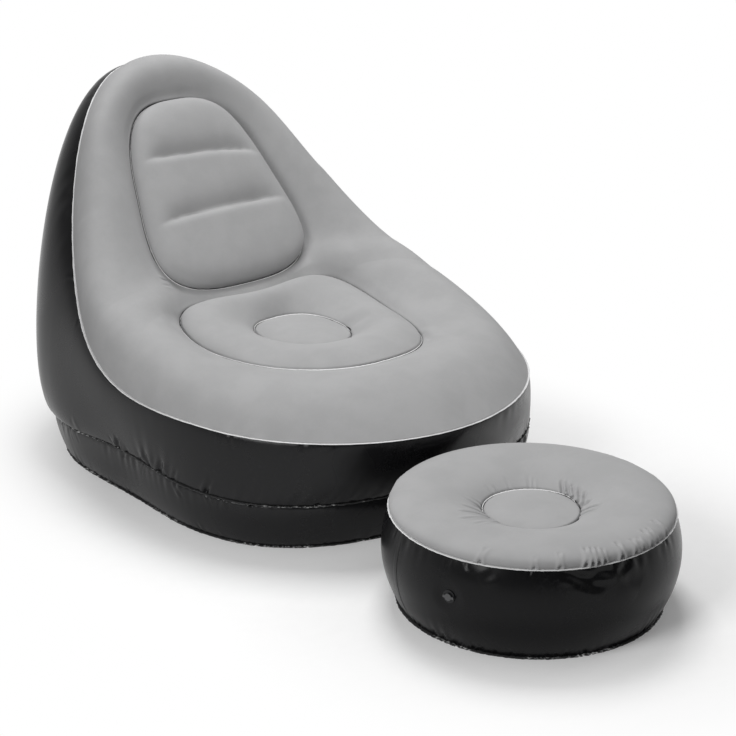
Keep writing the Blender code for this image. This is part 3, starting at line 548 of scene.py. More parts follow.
# The collar: arms, front lip and back rim in one grey flocked sheet, cut with a hole for the seat
# and one for the back panel, and welded down along both outlines.
COLLAR_RISES = (0.056, 0.097, 0.141, 0.107, 0.009)
COLLAR_FLARES = (-0.070, -0.040, 0.003, 0.008, -0.028)
RECESS_RISES = (0.019, 0.042, 0.066, 0.075, 0.081)
RECESS_RUNS = (0.088, 0.108, 0.130, 0.124, 0.108)
SEAT_PLACE, SEAT_HEIGHT, SEAT_SLOPE = -0.0493, 0.2616, math.radians(1.0)
SEAT_HALF_WIDTHS, SEAT_LENGTH, SEAT_CORNER = (0.144, 0.2225), 0.4854, 0.734
SEAT_BELLY, SEAT_NOTCH = 0.122, 0.070
SEAT_REAR_RISE, SEAT_EAR_RISE, SEAT_FRONT_RISE = 0.030, 0.034, 0.021
PANEL_SETBACK, PANEL_LIFT, PANEL_SLOPE = 0.028, 0.0168, math.radians(52)
PANEL_HALF_WIDTHS, PANEL_LENGTH, PANEL_CORNER = (0.216, 0.128), 0.408, 0.68
PANEL_BELLY = -0.057
SEAM_CLEARANCE = 0.0003
WELD_HALF = 0.0006
WELD_CLEAR = WELD_HALF + WELD_GAP
OUTLINE_STATIONS = 28
outline_step = math.tau / OUTLINE_STATIONS


def plane(place, height, slope):
    """A tilted plane as (origin, matrix of its three directions in columns)."""
    c, s = math.cos(slope), math.sin(slope)
    return np.array((0, place, height)), np.array(((1, 0, 0), (0, c, -s), (0, s, c)))


def put(points, flat):
    origin, axes = flat
    return origin + points @ axes.T


seat_plane = plane(SEAT_PLACE, SEAT_HEIGHT, SEAT_SLOPE)
back_edge = put(np.array((0, SEAT_LENGTH / 2 - SEAT_NOTCH, SEAT_REAR_RISE)), seat_plane)
panel_plane = plane(back_edge[1] + PANEL_SETBACK + PANEL_LENGTH / 2 * math.cos(PANEL_SLOPE),
                    back_edge[2] + PANEL_LIFT + PANEL_LENGTH / 2 * math.sin(PANEL_SLOPE), PANEL_SLOPE)


def rounded(angles, corner):
    """Places across and along a rounded square, -1 to 1; a small corner value makes tight corners."""
    across = np.sign(np.sin(angles)) * np.abs(np.sin(angles)) ** corner
    run = -np.sign(np.cos(angles)) * np.abs(np.cos(angles)) ** corner
    return across, run


def outline(angles, half_widths, length, corner, belly=0.0, notch=0.0):
    """A rounded outline in its own plane, narrower at one end; notch draws its far edge in."""
    near, far = half_widths
    across, run = rounded(angles, corner)
    half = ((near + far) / 2 + (far - near) / 2 * run) * (1 + belly * (1 - run**2))
    drawn_in = notch * np.maximum(run, 0) ** 2 * (1 - across**2)
    return np.stack([across * half, run * length / 2 - drawn_in, 0 * run], 1)


def beside(angles, shape, distance):
    """The outline moved outward by a distance."""
    step = 1e-4
    run = unit(shape(angles + step) - shape(angles - step))
    return shape(angles) + np.stack([run[:, 1], -run[:, 0], 0 * run[:, 0]], 1) * distance


def seat_outline(angles):
    """The seat's outline; its rear, its rear corners and its front rise out of its plane."""
    points = outline(angles, SEAT_HALF_WIDTHS, SEAT_LENGTH, SEAT_CORNER, SEAT_BELLY, SEAT_NOTCH)
    across, run = rounded(angles, SEAT_CORNER)
    rear = (SEAT_REAR_RISE + SEAT_EAR_RISE * across**2) * np.maximum(run, 0) ** 2
    points[:, 2] = rear + SEAT_FRONT_RISE * np.maximum(-run, 0) ** 2
    return points


def panel_outline(angles):
    return outline(angles, PANEL_HALF_WIDTHS, PANEL_LENGTH, PANEL_CORNER, PANEL_BELLY)


# The collar's inner edge follows the seat up to one station, and the panel from another on. Between
# them, at each end of the bridge, it crosses over, and its facing turns with it.
SEAT_END, PANEL_START, PANEL_SHIFT = 10.5, 12.5, 9
TURN_START, TURN_RUN = 9.5, 4
BRIDGE_PUFF = 0.0045
bridge_up = unit(seat_plane[1][:, 2] + panel_plane[1][:, 2])


def along_seat(stations):
    return put(beside(stations * outline_step, seat_outline, WELD_CLEAR), seat_plane)


def along_panel(stations):
    return put(beside((stations - PANEL_SHIFT) * outline_step, panel_outline, WELD_CLEAR), panel_plane)


def bridged(start, end, share):
    """Points of the puffed bridge between two places or lines."""
    return start + (end - start) * share + bridge_up * (BRIDGE_PUFF * np.sin(math.pi * share))


def inner_edge(stations):
    """The collar's inner edge and its facing, at stations counted both ways from the front middle."""
    side = np.sign(stations)
    far = np.abs(stations)
    between = np.clip((far - SEAT_END) / (PANEL_START - SEAT_END), 0, 1)[:, None]
    crossing = bridged(along_seat(np.array([SEAT_END])), along_panel(np.array([PANEL_START])), between)
    seat = along_seat(np.minimum(far, SEAT_END))
    panel = along_panel(np.maximum(far, PANEL_START))
    points = np.where(far[:, None] <= SEAT_END, seat, np.where(far[:, None] >= PANEL_START, panel, crossing))
    turn = smoothed(np.clip((far - TURN_START) / TURN_RUN, 0, 1))[:, None]
    facing = unit(seat_plane[1][:, 2] * (1 - turn) + panel_plane[1][:, 2] * turn)
    points[:, 0] *= np.where(side < 0, -1, 1)
    return points, facing


stations = np.arange(RING_STEPS) / STATION_STEPS + 0.5
stations = np.where(stations > STATIONS / 2, stations - STATIONS, stations)
edge, edge_facing = inner_edge(stations)
start = moved(seam, up=FLANGE_THICKNESS / 2 + SEAM_CLEARANCE + SHEET)
out, up = outward_and_up(seam)
first = start + up * eased(COLLAR_RISES, along)[:, None] + out * eased(COLLAR_FLARES, along)[:, None]
away = start - edge
away = unit(away - edge_facing * np.sum(away * edge_facing, 1)[:, None])
second = edge + edge_facing * eased(RECESS_RISES, along)[:, None] + away * eased(RECESS_RUNS, along)[:, None]
COLLAR_ROWS, INNER_CROWDING = 74, 1.6
shares = 1 - (1 - np.linspace(0, 1, COLLAR_ROWS)) ** INNER_CROWDING
rows = np.array([cubic(start, first, second, edge, share) for share in shares])
rows = puckered(rows, turns, depth=0.0004, reach=0.012, counts=(53, 77, 95), seed=31, top=False)

# The bridge between the seat and the back panel is a strip of the same sheet. Its two ends are the
# collar's own points, so that the sheet has no cut there.
BRIDGE_STATIONS = 7
bridge_run = np.arange(BRIDGE_STATIONS * STATION_STEPS + 1) / STATION_STEPS
across = np.linspace(0, 1, 2 * STATION_STEPS + 1)[:, None, None]
bridge = bridged(along_panel(PANEL_START - bridge_run), along_seat(SEAT_END + bridge_run), across)
low_step, high_step = (round((station - 0.5) * STATION_STEPS) for station in (SEAT_END, PANEL_START))
last_step = (STATIONS - 1) * STATION_STEPS
bridge[:, 0] = rows[-1, low_step : high_step + 1][::-1]
bridge[:, -1] = rows[-1, last_step - high_step : last_step - low_step + 1]
bridge_ends = [bridge[STATION_STEPS, 0], bridge[STATION_STEPS, -1]]

# Flock is short grey fibre, blown onto wet adhesive on the vinyl: it is matt and soft, faintly
# clouded where it was brushed one way or the other, and it brightens at a glancing angle.
flock_nap, nap_in, nap_out = new_group(
    "flock nap",
    [("Light", "NodeSocketColor", (0.40, 0.40, 0.40, 1)), ("Dark", "NodeSocketColor", (0.3, 0.3, 0.3, 1)),
     ("Cloud Scale", "NodeSocketFloat", 14.0), ("Nap Height", "NodeSocketFloat", 0.00012)],
    [("Colour", "NodeSocketColor"), ("Height", "NodeSocketFloat"), ("Roughness", "NodeSocketFloat")],
)
spot = position(flock_nap)
clouds = noise(flock_nap, spot, nap_in.outputs["Cloud Scale"], detail=4.0, roughness=0.6)
clouds = stretched(flock_nap, clouds, 0.3, 0.7)
fibres = noise(flock_nap, spot, scale=1400.0, detail=3.0, roughness=0.7)
speckle = noise(flock_nap, spot, scale=420.0, detail=2.0, roughness=0.6)
depth = reckon(flock_nap, "ADD", reckon(flock_nap, "MULTIPLY", clouds, 0.45),
               reckon(flock_nap, "ADD", reckon(flock_nap, "MULTIPLY", fibres, 0.45),
                      reckon(flock_nap, "MULTIPLY", speckle, 0.35)), clamp=True)
shade = stretched(flock_nap, depth, 0.25, 0.95)
nap_colour = mixed(flock_nap, shade, nap_in.outputs["Dark"], nap_in.outputs["Light"])
flock_nap.links.new(nap_colour, nap_out.inputs["Colour"])
flock_nap.links.new(reckon(flock_nap, "MULTIPLY", reckon(flock_nap, "ADD", fibres, speckle),
                           nap_in.outputs["Nap Height"]), nap_out.inputs["Height"])
flock_nap.links.new(stretched(flock_nap, clouds, 0.0, 1.0, 0.86, 0.96), nap_out.inputs["Roughness"])


def flock(name, light, dark):
    """Flocked vinyl: clouded fibre with a little sheen, and its nap as fine relief."""
    look, tree, shader = new_look(name)
    nap = placed_group(tree, flock_nap, light=(*light, 1), dark=(*dark, 1))
    tree.links.new(nap.outputs["Colour"], shader.inputs["Base Color"])
    tree.links.new(nap.outputs["Roughness"], shader.inputs["Roughness"])
    shader.inputs["Sheen Weight"].default_value = 0.12
    shader.inputs["Sheen Roughness"].default_value = 0.45
    shader.inputs["Specular IOR Level"].default_value = 0.2
    embossed(tree, shader, nap.outputs["Height"], strength=0.6)
    return look


grey_flock = flock("grey flock", (0.405, 0.405, 0.408), (0.365, 0.365, 0.368))
collar = net("collar", rows)
strip = net("bridge", bridge, closed=False)
shape = bmesh.new()
shape.from_mesh(collar.data)
shape.from_mesh(strip.data)
bpy.data.objects.remove(strip)
bmesh.ops.remove_doubles(shape, verts=shape.verts, dist=5e-5)

# Where the bridge runs into the arms, air pressure rounds every corner away. The sheet is relaxed
# there, and round the arms' shoulders, easing off within a hand's width.
RELAX_REACH, RELAX_ROUNDS, RELAX_EASE = 0.110, 240, 0.85
ARM_SHOULDERS = [np.array((-0.245, 0.012, 0.335)), np.array((0.245, 0.012, 0.335))]
shape.verts.ensure_lookup_table()
before = np.array([v.co for v in shape.verts])
gap = np.min([np.linalg.norm(before - end, axis=1) for end in bridge_ends + ARM_SHOULDERS], axis=0)
loose = [v for v in shape.verts if gap[v.index] < RELAX_REACH and not v.is_boundary]
for _ in range(RELAX_ROUNDS):
    bmesh.ops.smooth_vert(shape, verts=loose, factor=0.5, use_axis_x=True, use_axis_y=True, use_axis_z=True)
relaxed = np.array([v.co for v in shape.verts])
share = smoothed(np.clip((RELAX_REACH - gap) / (RELAX_REACH * RELAX_EASE), 0, 1))[:, None]
points = before + (relaxed - before) * share


def shifted(shape, points):
    """Moves a shape's points to new places."""
    for vert, point in zip(shape.verts, points):
        vert.co = point


shifted(shape, points)
shape.normal_update()
facing = np.array([v.normal for v in shape.verts])

# Both outlines are drawn down into their weld grooves, with a soft dip round them. The creases and
# dimples lie where the bridge and the seat's front corner pull on the sheet.
GROOVE_DEPTH, GROOVE_WIDTH = 0.0040, 0.0018
DIP_DEPTH, DIP_WIDTH, DIP_PLACE = 0.0022, 0.010, 0.011
RIM_STEPS = 1800
rim_turns = np.linspace(0, math.tau, RIM_STEPS, endpoint=False)
rims = np.concatenate([put(beside(rim_turns, seat_outline, WELD_CLEAR), seat_plane),
                       put(beside(rim_turns, panel_outline, WELD_CLEAR), panel_plane)])
rim_tree = KDTree(len(rims))
for index, spot in enumerate(rims):
    rim_tree.insert(spot, index)
rim_tree.balance()
found = [rim_tree.find(point) for point in points]
gap = np.array([hit[2] for hit in found])
on_panel = np.array([hit[1] >= RIM_STEPS for hit in found])[:, None]
down = np.where(on_panel, panel_plane[1][:, 2], seat_plane[1][:, 2])
dip = hollow(gap - DIP_PLACE, DIP_DEPTH, DIP_WIDTH) + hollow(gap, GROOVE_DEPTH, GROOVE_WIDTH)
COLLAR_CREASES = [
    ((-0.196, 0.166, 0.358), (-0.168, 0.170, 0.343), 0.0028, 0.0022),
    ((-0.198, 0.152, 0.348), (-0.172, 0.158, 0.335), 0.0028, 0.0016),
]
COLLAR_DIMPLES = [
    ((-0.205, 0.104, 0.310), (-0.262, 0.030, 0.314), 0.0150, 0.0030),
    ((0.150, -0.208, 0.270), (0.172, -0.150, 0.268), 0.0120, 0.0030),
]
SEAT_CORNER_CREASES = [
    ((0.154, -0.198, 0.268), (0.134, -0.258, 0.275), 0.0100, 0.0044),
]
points = pressed(points, facing, COLLAR_CREASES, loose=True)
points = pressed(points, facing, COLLAR_DIMPLES, loose=True, ridge=0.0)
points = pressed(points, facing, SEAT_CORNER_CREASES, ridge=0.25)
shifted(shape, points - down * dip[:, None])
shape.to_mesh(collar.data)
shape.free()
dressed(skin(collar), grey_flock, "chair_shell", "chair_collar")

# The back panel: a grey flocked sheet puffed between its outline and two pleats, where strips
# inside tie it back. Each pleat is a sharp valley that dies out before the outline.
PANEL_CROWN = 0.034
PLEATS = ((-0.0465, 0.002, -0.0155), (0.0770, -0.016, -0.0190))
PLEAT_ABOVE, PLEAT_BELOW = 0.023, 0.0058
PLEAT_DEPTH = 0.52
PLEAT_FULL, PLEAT_GONE = 0.30, 0.92


def panel_puff(across, run, level):
    """How far the panel stands out of its plane; across and run go from -1 to 1 over it."""
    dome = np.sqrt(np.maximum(0, (1 - across**4) * (1 - run**6)))
    fade = smoothed(np.clip((PLEAT_GONE - np.abs(across)) / (PLEAT_GONE - PLEAT_FULL), 0, 1))
    valley = np.zeros_like(across * level)
    for pleat, tilt, bow in PLEATS:
        off = level - pleat - tilt * across - bow * across**2
        reach = np.where(off > 0, PLEAT_ABOVE, PLEAT_BELOW)
        valley = np.maximum(valley, np.exp(-((np.abs(off) / reach) ** 1.2)))
    return PANEL_CROWN * dome * (1 - PLEAT_DEPTH * fade * valley)


def filled(outline_points, shares):
    """A net that fills an outline of four equal quarters, whose first point is its near-right corner."""
    quarter = len(outline_points) // 4
    right = outline_points[: quarter + 1]
    top = outline_points[quarter : 2 * quarter + 1][::-1]
    left = outline_points[2 * quarter : 3 * quarter + 1][::-1]
    bottom = np.concatenate([outline_points[3 * quarter :], outline_points[:1]])
    u, v = shares[None, :, None], shares[:, None, None]
    sides = left[:, None] * (1 - u) + right[:, None] * u
    ends = bottom[None] * (1 - v) + top[None] * v
    corners = (bottom[0] * (1 - u) + bottom[-1] * u) * (1 - v) + (top[0] * (1 - u) + top[-1] * u) * v
    return sides + ends - corners


shares = rowed(160, toward_ends=0.8)
angles = np.concatenate([math.tau / 8 + (quarter + shares[:-1]) * math.tau / 4 for quarter in range(4)])
net_points = filled(beside(angles, panel_outline, -WELD_CLEAR), shares)
across_share, run_share = np.meshgrid(2 * shares - 1, 2 * shares - 1)
net_points[..., 2] = panel_puff(across_share, run_share, net_points[..., 1])


def border_gap(points, border):
    """How far each point of a flat net lies from an outline."""
    flat = points.reshape(-1, 3)[:, None, :2] - border[None, :, :2]
    return np.sqrt((flat**2).sum(2).min(1)).reshape(points.shape[:2])


BORDER_STEPS, NET_PARTS = 2400, 30
border = beside(np.linspace(0, math.tau, BORDER_STEPS, endpoint=False), panel_outline, -WELD_CLEAR)
gap = np.concatenate([border_gap(part, border) for part in np.array_split(net_points, NET_PARTS)])
net_points[..., 2] -= hollow(gap, GROOVE_DEPTH, GROOVE_WIDTH)
PANEL_CREASES = [
    ((-0.112, 0.079, 0.022), (-0.060, 0.077, 0.014), 0.0024, 0.0010),
    ((0.116, 0.056, 0.022), (0.060, 0.067, 0.014), 0.0024, 0.0008),
    ((-0.130, -0.050, 0.022), (-0.080, -0.056, 0.014), 0.0026, 0.0010),
    ((0.134, -0.044, 0.022), (0.082, -0.053, 0.014), 0.0026, 0.0010),
]
net_points = creased(net_points, PANEL_CREASES, closed=False)
back_panel = skin(net("back_panel", put(net_points, panel_plane), closed=False))
dressed(back_panel, grey_flock, "chair_shell", "chair_back_panel")

# The weld lines: the bar has crushed the flock dark, and squeezed a thin pale rib of bare vinyl
# out along the lower side of each line. The trough is darker than the crushing alone leaves it, as
# painted shade in the groove, and the rib's pale colour on the side toward the front is a painted highlight.
pale_rib_painted_highlight = vinyl("bare weld rib with painted highlight", (0.86, 0.86, 0.86), (0.55, 0.55, 0.555), roughness=0.28, marks=0.6,
                 peel_scale=1600.0)
crushed_flock_and_painted_shade = vinyl("crushed flock with painted shade", (0.035, 0.035, 0.036), (0.08, 0.08, 0.081), roughness=0.55, marks=0.6,
                      peel_scale=1600.0)
TROUGH_HALF, TROUGH_MORE, TROUGH_DEEP = 0.0010, 0.0014, -0.0034
LIP_NEAR, LIP_FAR, UNDERSIDE = -0.0026, -0.0006, -0.0040
RIB_HALF, RIB_MORE, RIB_SUNK, RIB_LIFT = 0.0005, 0.0010, -0.0034, 0.00015
TOWARD_FRONT = unit(np.array((-0.45, -0.89)))
HIDDEN_TOP, OPEN_TOP, DOME_TOP = -0.0030, 0.0004, 0.0011


def bead(name, loop, inner_top, outer_top, body, node, seed, flat=None):
    """A weld line: a dark trough of painted shade with a pale rib of painted highlight on its lower side, as
    high as the sheets let it stand.
    """
    turns = np.linspace(0, math.tau, len(loop), endpoint=False)
    lift = RIB_LIFT * waves(turns, (31, 59, 97), seed)
    out, _ = outward_and_up(loop)
    lean = out[:, :2] @ TOWARD_FRONT
    half = TROUGH_HALF + TROUGH_MORE * lean**2
    trough = []
    for share in (-1, -0.5, 0, 0.5, 1):
        lip = LIP_NEAR + (LIP_FAR - LIP_NEAR) * np.clip(-share * lean, 0, 1)
        trough.append((share * half, TROUGH_DEEP + (lip - TROUGH_DEEP) * share**2))
    trough += [(half, UNDERSIDE), (-half, UNDERSIDE)]
    shown = smoothed(np.clip(np.abs(lean) / 0.5, 0, 1))
    rib_half = RIB_HALF + RIB_MORE * lean**2
    rib_top = RIB_SUNK + (np.where(lean > 0, outer_top, inner_top) - RIB_SUNK) * shown
    rib_middle = lean * (half + 0.7 * rib_half)
    rib = [(rib_middle + rib_half * math.cos(turn), rib_top - rib_half * (1 - math.sin(turn)) * 0.6)
           for turn in np.linspace(math.pi, -math.pi, 10, endpoint=False)]
    whole = bmesh.new()
    for index, profile in enumerate((rib, trough)):
        sides = []
        for across, height in profile:
            side = moved(loop, across)
            side[:, 2] += height + lift
            sides.append(side if flat is None else put(side, flat))
        strip = closed_strip(name, sides)
        known = len(whole.faces)
        whole.from_mesh(strip.data)
        bpy.data.objects.remove(strip)
        for face in list(whole.faces)[known:]:
            face.material_index = index
    obj = bpy.data.objects.new(name, bpy.data.meshes.new(name))
    whole.to_mesh(obj.data)
    whole.free()
    bpy.context.scene.collection.objects.link(obj)
    dressed(obj, pale_rib_painted_highlight, body, node)
    obj.data.materials.append(crushed_flock_and_painted_shade)


LOOP_STEPS = 30 * OUTLINE_STATIONS
loop_turns = (np.arange(LOOP_STEPS) + 0.5) * math.tau / LOOP_STEPS
bead("back_weld", panel_outline(loop_turns), HIDDEN_TOP, OPEN_TOP, "chair_shell", "chair_back_weld", 42,
     panel_plane)

# The seat: a puffed ring of flocked sheet round a sunken oval middle. Upright bands inside are welded
# under both of its outlines and hold them down against the air.
SEAT_CROWN, SEAT_PUFF = 0.026, 0.8
CENTRE_PLACE, CENTRE_DROP, CENTRE_HALF_WIDTH, CENTRE_LENGTH = 0.018, 0.003, 0.084, 0.190
CENTRE_CORNER, CENTRE_CROWN = 0.8, 0.010


def centre_outline(angles):
    points = outline(angles, (CENTRE_HALF_WIDTH, CENTRE_HALF_WIDTH), CENTRE_LENGTH, CENTRE_CORNER)
    return points + (0, CENTRE_PLACE, -CENTRE_DROP)


def grooved(rows, edge):
    """Rolls a skin down into the weld groove at one of its edges."""
    away = np.linalg.norm(rows - edge, axis=2)
    return rows - hollow(away, GROOVE_DEPTH, GROOVE_WIDTH)[..., None] * (0, 0, 1)


outer = beside(loop_turns, seat_outline, -WELD_CLEAR)
inner = beside(loop_turns, centre_outline, WELD_CLEAR)
shares = rowed(84, toward_ends=0.85)[:, None, None]
rows = outer + (inner - outer) * shares
rows[..., 2] += (SEAT_CROWN * np.sin(math.pi * shares) ** SEAT_PUFF)[..., 0]
SEAT_CREASES = [
    ((-0.084, -0.016, 0.0), (-0.130, -0.030, 0.022), 0.0075, 0.0026),
    ((0.083, -0.018, 0.0), (0.122, -0.040, 0.020), 0.0150, 0.0040),
]
rows = creased(rows, SEAT_CREASES)
draw = np.random.default_rng(52)
rows = gathered(rows, draw, 10, reach=0.026, width=0.004, depth=0.0006)
rows = grooved(grooved(rows, outer), inner)
seat_ring = skin(net("seat_ring", put(rows, seat_plane)))
dressed(seat_ring, grey_flock, "chair_shell", "chair_seat_ring")


DOME_ROWS, DOME_REACH, EDGE_CROWDING = 46, 0.985, 1.5
dome_shares = DOME_REACH * np.linspace(0, 1, DOME_ROWS) ** EDGE_CROWDING


def domed(loop, crown):
    """Rows from a groove at a loop to a small ring round its middle, rising as a shallow dome."""
    rows = loop + (loop.mean(0) - loop) * dome_shares[:, None, None]
    rows[..., 2] += (crown * (1 - (1 - dome_shares) ** 2))[:, None]
    return grooved(rows, loop)


def closed_dome(name, rows):
    """A domed net whose last small ring is closed by one point."""
    obj = net(name, rows)
    shape = bmesh.new()
    shape.from_mesh(obj.data)
    shape.verts.ensure_lookup_table()
    around = rows.shape[1]
    ring = shape.verts[-around:]
    tip = shape.verts.new(rows[-1].mean(0))
    for index in range(around):
        shape.faces.new((ring[index], ring[(index + 1) % around], tip))
    shape.to_mesh(obj.data)
    shape.free()
    return obj


rows = domed(beside(loop_turns, centre_outline, -WELD_CLEAR), CENTRE_CROWN)
seat_centre = skin(closed_dome("seat_centre", put(rows, seat_plane)))
dressed(seat_centre, grey_flock, "chair_shell", "chair_seat_centre")
bead("seat_weld", seat_outline(loop_turns), HIDDEN_TOP, OPEN_TOP, "chair_shell", "chair_seat_weld", 43,
     seat_plane)
bead("centre_weld", centre_outline(loop_turns), DOME_TOP, HIDDEN_TOP, "chair_shell", "chair_centre_weld", 44,
     seat_plane)

# Inside are webs, ties and a deck of clear film, welded to the skins. They hold the chambers in shape
# against the air. Each valve's one-way flap is cut from the same film.
clear_film = vinyl("clear film", (0.60, 0.60, 0.62), (0.45, 0.45, 0.46), roughness=0.35, marks=0.3)
clear_film.node_tree.nodes["Principled BSDF"].inputs["Transmission Weight"].default_value = 0.4
inside = [name for name in nodes if any(word in name for word in ("web", "tie", "deck", "flap"))]
refinished(clear_film, *inside)

# The valves of the chair and the footstool are moulded: a black neck welded into the wall, a push-in
# bung or stem, and a small grey stopper on its mouth.
valve_black = vinyl("moulded black", (0.012, 0.012, 0.013), (0.06, 0.06, 0.062), roughness=0.38,
                    wave_height=0.0, marks=0.4)
valve_grey = vinyl("moulded grey", (0.085, 0.085, 0.087), (0.20, 0.20, 0.205), roughness=0.30,
                   wave_height=0.0, marks=0.4)
refinished(valve_black, "chair_valve_base", "chair_valve_bung")
refinished(valve_black, "footstool_valve_collar", "footstool_valve_stem")
refinished(valve_grey, "chair_valve_stopper", "footstool_valve_stopper")

# The footstool: a black band lap-welded into a ring, between a flocked top and a flat bottom. The
# welds at its two edges gather it, and its creases fan out at the front left below the top seam.
STOOL_PLACE = np.array((-0.072, -0.746, 0))
STOOL_SEAM_RADIUS, STOOL_SEAM_HEIGHT = 0.2375, 0.164
STOOL_FLOOR_RADIUS, STOOL_BULGE = 0.222, 0.021
STOOL_CROWN_RISE, STOOL_CROWN_FLARE = 0.032, 0.012
STOOL_CENTRE_RADIUS, STOOL_CENTRE_HEIGHT = 0.083, 0.158
STOOL_RECESS_RISE, STOOL_RECESS_RUN = 0.040, 0.045
STOOL_CENTRE_CROWN = 0.008
STOOL_VALVE_PLACE = np.array((-0.312128, -0.810342, 0.100032))
STOOL_VALVE_FACING = np.array((-0.965762, -0.258775, 0.018413))
STOOL_HOLE_RADIUS, STOOL_FLAT_RADIUS, STOOL_FLAT_EDGE = 0.0092, 0.013, 0.036
STOOL_STEPS = 1100
stool_turns = (np.arange(STOOL_STEPS) + 0.5) * math.tau / STOOL_STEPS


def round_row(radius, height, turns=stool_turns):
    """Points round the footstool's axis, at one height."""
    heights = np.full(len(turns), height)
    return np.stack([radius * np.sin(turns), -radius * np.cos(turns), heights], 1) + STOOL_PLACE


def band_size(share):
    """The band's radius and height at a share of the way up; it is fullest halfway."""
    low, high = FLANGE_THICKNESS + WELD_GAP, STOOL_SEAM_HEIGHT - FLANGE_CLEAR
    straight = STOOL_FLOOR_RADIUS + (STOOL_SEAM_RADIUS - STOOL_FLOOR_RADIUS) * share
    return straight + 4 * share * (1 - share) * STOOL_BULGE, low + (high - low) * share


rows = np.array([round_row(*band_size(share)) for share in rowed(80, toward_ends=0.4)])
rows = puckered(rows, stool_turns, depth=0.0006, reach=0.013, counts=(31, 46, 58, 71), seed=61)
rows = puckered(rows, stool_turns, depth=0.0009, reach=0.013, counts=(33, 49, 62, 77), seed=62, top=False)
STOOL_WALL_CREASES = [
    ((-0.206, -0.944, 0.161), (-0.166, -0.970, 0.148), 0.0065, 0.0030),
    ((-0.193, -0.957, 0.152), (-0.138, -0.986, 0.128), 0.0090, 0.0038),
    ((-0.120, -0.990, 0.152), (-0.188, -0.961, 0.147), 0.0060, 0.0028),
    ((-0.162, -0.968, 0.160), (-0.116, -0.986, 0.151), 0.0065, 0.0028),
    ((-0.092, -0.986, 0.160), (-0.114, -0.990, 0.143), 0.0065, 0.0022),
    ((-0.110, -0.992, 0.140), (-0.070, -0.996, 0.118), 0.0110, 0.0024),
    ((-0.280, -0.880, 0.160), (-0.300, -0.862, 0.140), 0.0070, 0.0016),
]
rows = creased(rows, STOOL_WALL_CREASES, loose=True)
draw = np.random.default_rng(63)
rows = gathered(rows, draw, 22, reach=0.020, width=0.0034, depth=0.0012)
rows = gathered(rows, draw, 36, reach=0.022, width=0.0032, depth=0.0015, top=False)
rows = flattened(rows, STOOL_VALVE_PLACE, STOOL_VALVE_FACING, STOOL_FLAT_RADIUS, STOOL_FLAT_EDGE)
stool_wall = punched(net("stool_wall", rows), STOOL_VALVE_PLACE, STOOL_VALVE_FACING, STOOL_HOLE_RADIUS)
dressed(skin(stool_wall), stool_vinyl_shaded, "footstool_shell", "footstool_wall")

# The lap is where the band's two ends overlap: one end is welded flat over the other from top to
# bottom, and the weld presses its two sides thin.
LAP_BEARING = math.radians(-105)
LAP_HALF, LAP_LIFT = 0.006, 0.0003
lap_across = np.linspace(-1, 1, 11)
lap_lift = LAP_LIFT + LAP_LIFT * (1 - lap_across**6)
lap_rows = []
for share in rowed(60, toward_ends=0.2):
    radius, height = band_size(share)
    lap_rows.append(round_row(radius + lap_lift, height, LAP_BEARING + lap_across * LAP_HALF / radius))
lap = skin(net("stool_lap", np.array(lap_rows), closed=False), thickness=2 * LAP_LIFT)
dressed(lap, stool_vinyl_shaded, "footstool_shell", "footstool_wall_lap")

# The footstool's seams: a ragged black margin at the floor, and at the top a pale margin with two
# raised lines, welded with the same bar as the chair's.
STOOL_FOOT_SEAM_HALF, STOOL_FOOT_SEAM_RAGGED = 0.0056, 0.0005
ragged = STOOL_FOOT_SEAM_HALF + STOOL_FOOT_SEAM_RAGGED * waves(stool_turns, (27, 63, 107, 149), 64)
stool_foot_seam = flange("stool_foot_seam", round_row(STOOL_FLOOR_RADIUS, FLANGE_THICKNESS / 2), ragged)
# The margin's pale streaks are painted glints.
dressed(stool_foot_seam, pressed_black_painted_glints, "footstool_shell", "footstool_bottom_seam")
refinished(black_vinyl, "footstool_bottom_sheet")
seam_ring = round_row(STOOL_SEAM_RADIUS, STOOL_SEAM_HEIGHT)
stool_top_seam = double_seam("stool_top_seam", seam_ring, stool_turns, seed=65)
dressed(stool_top_seam, pale_weld, "footstool_shell", "footstool_top_seam")

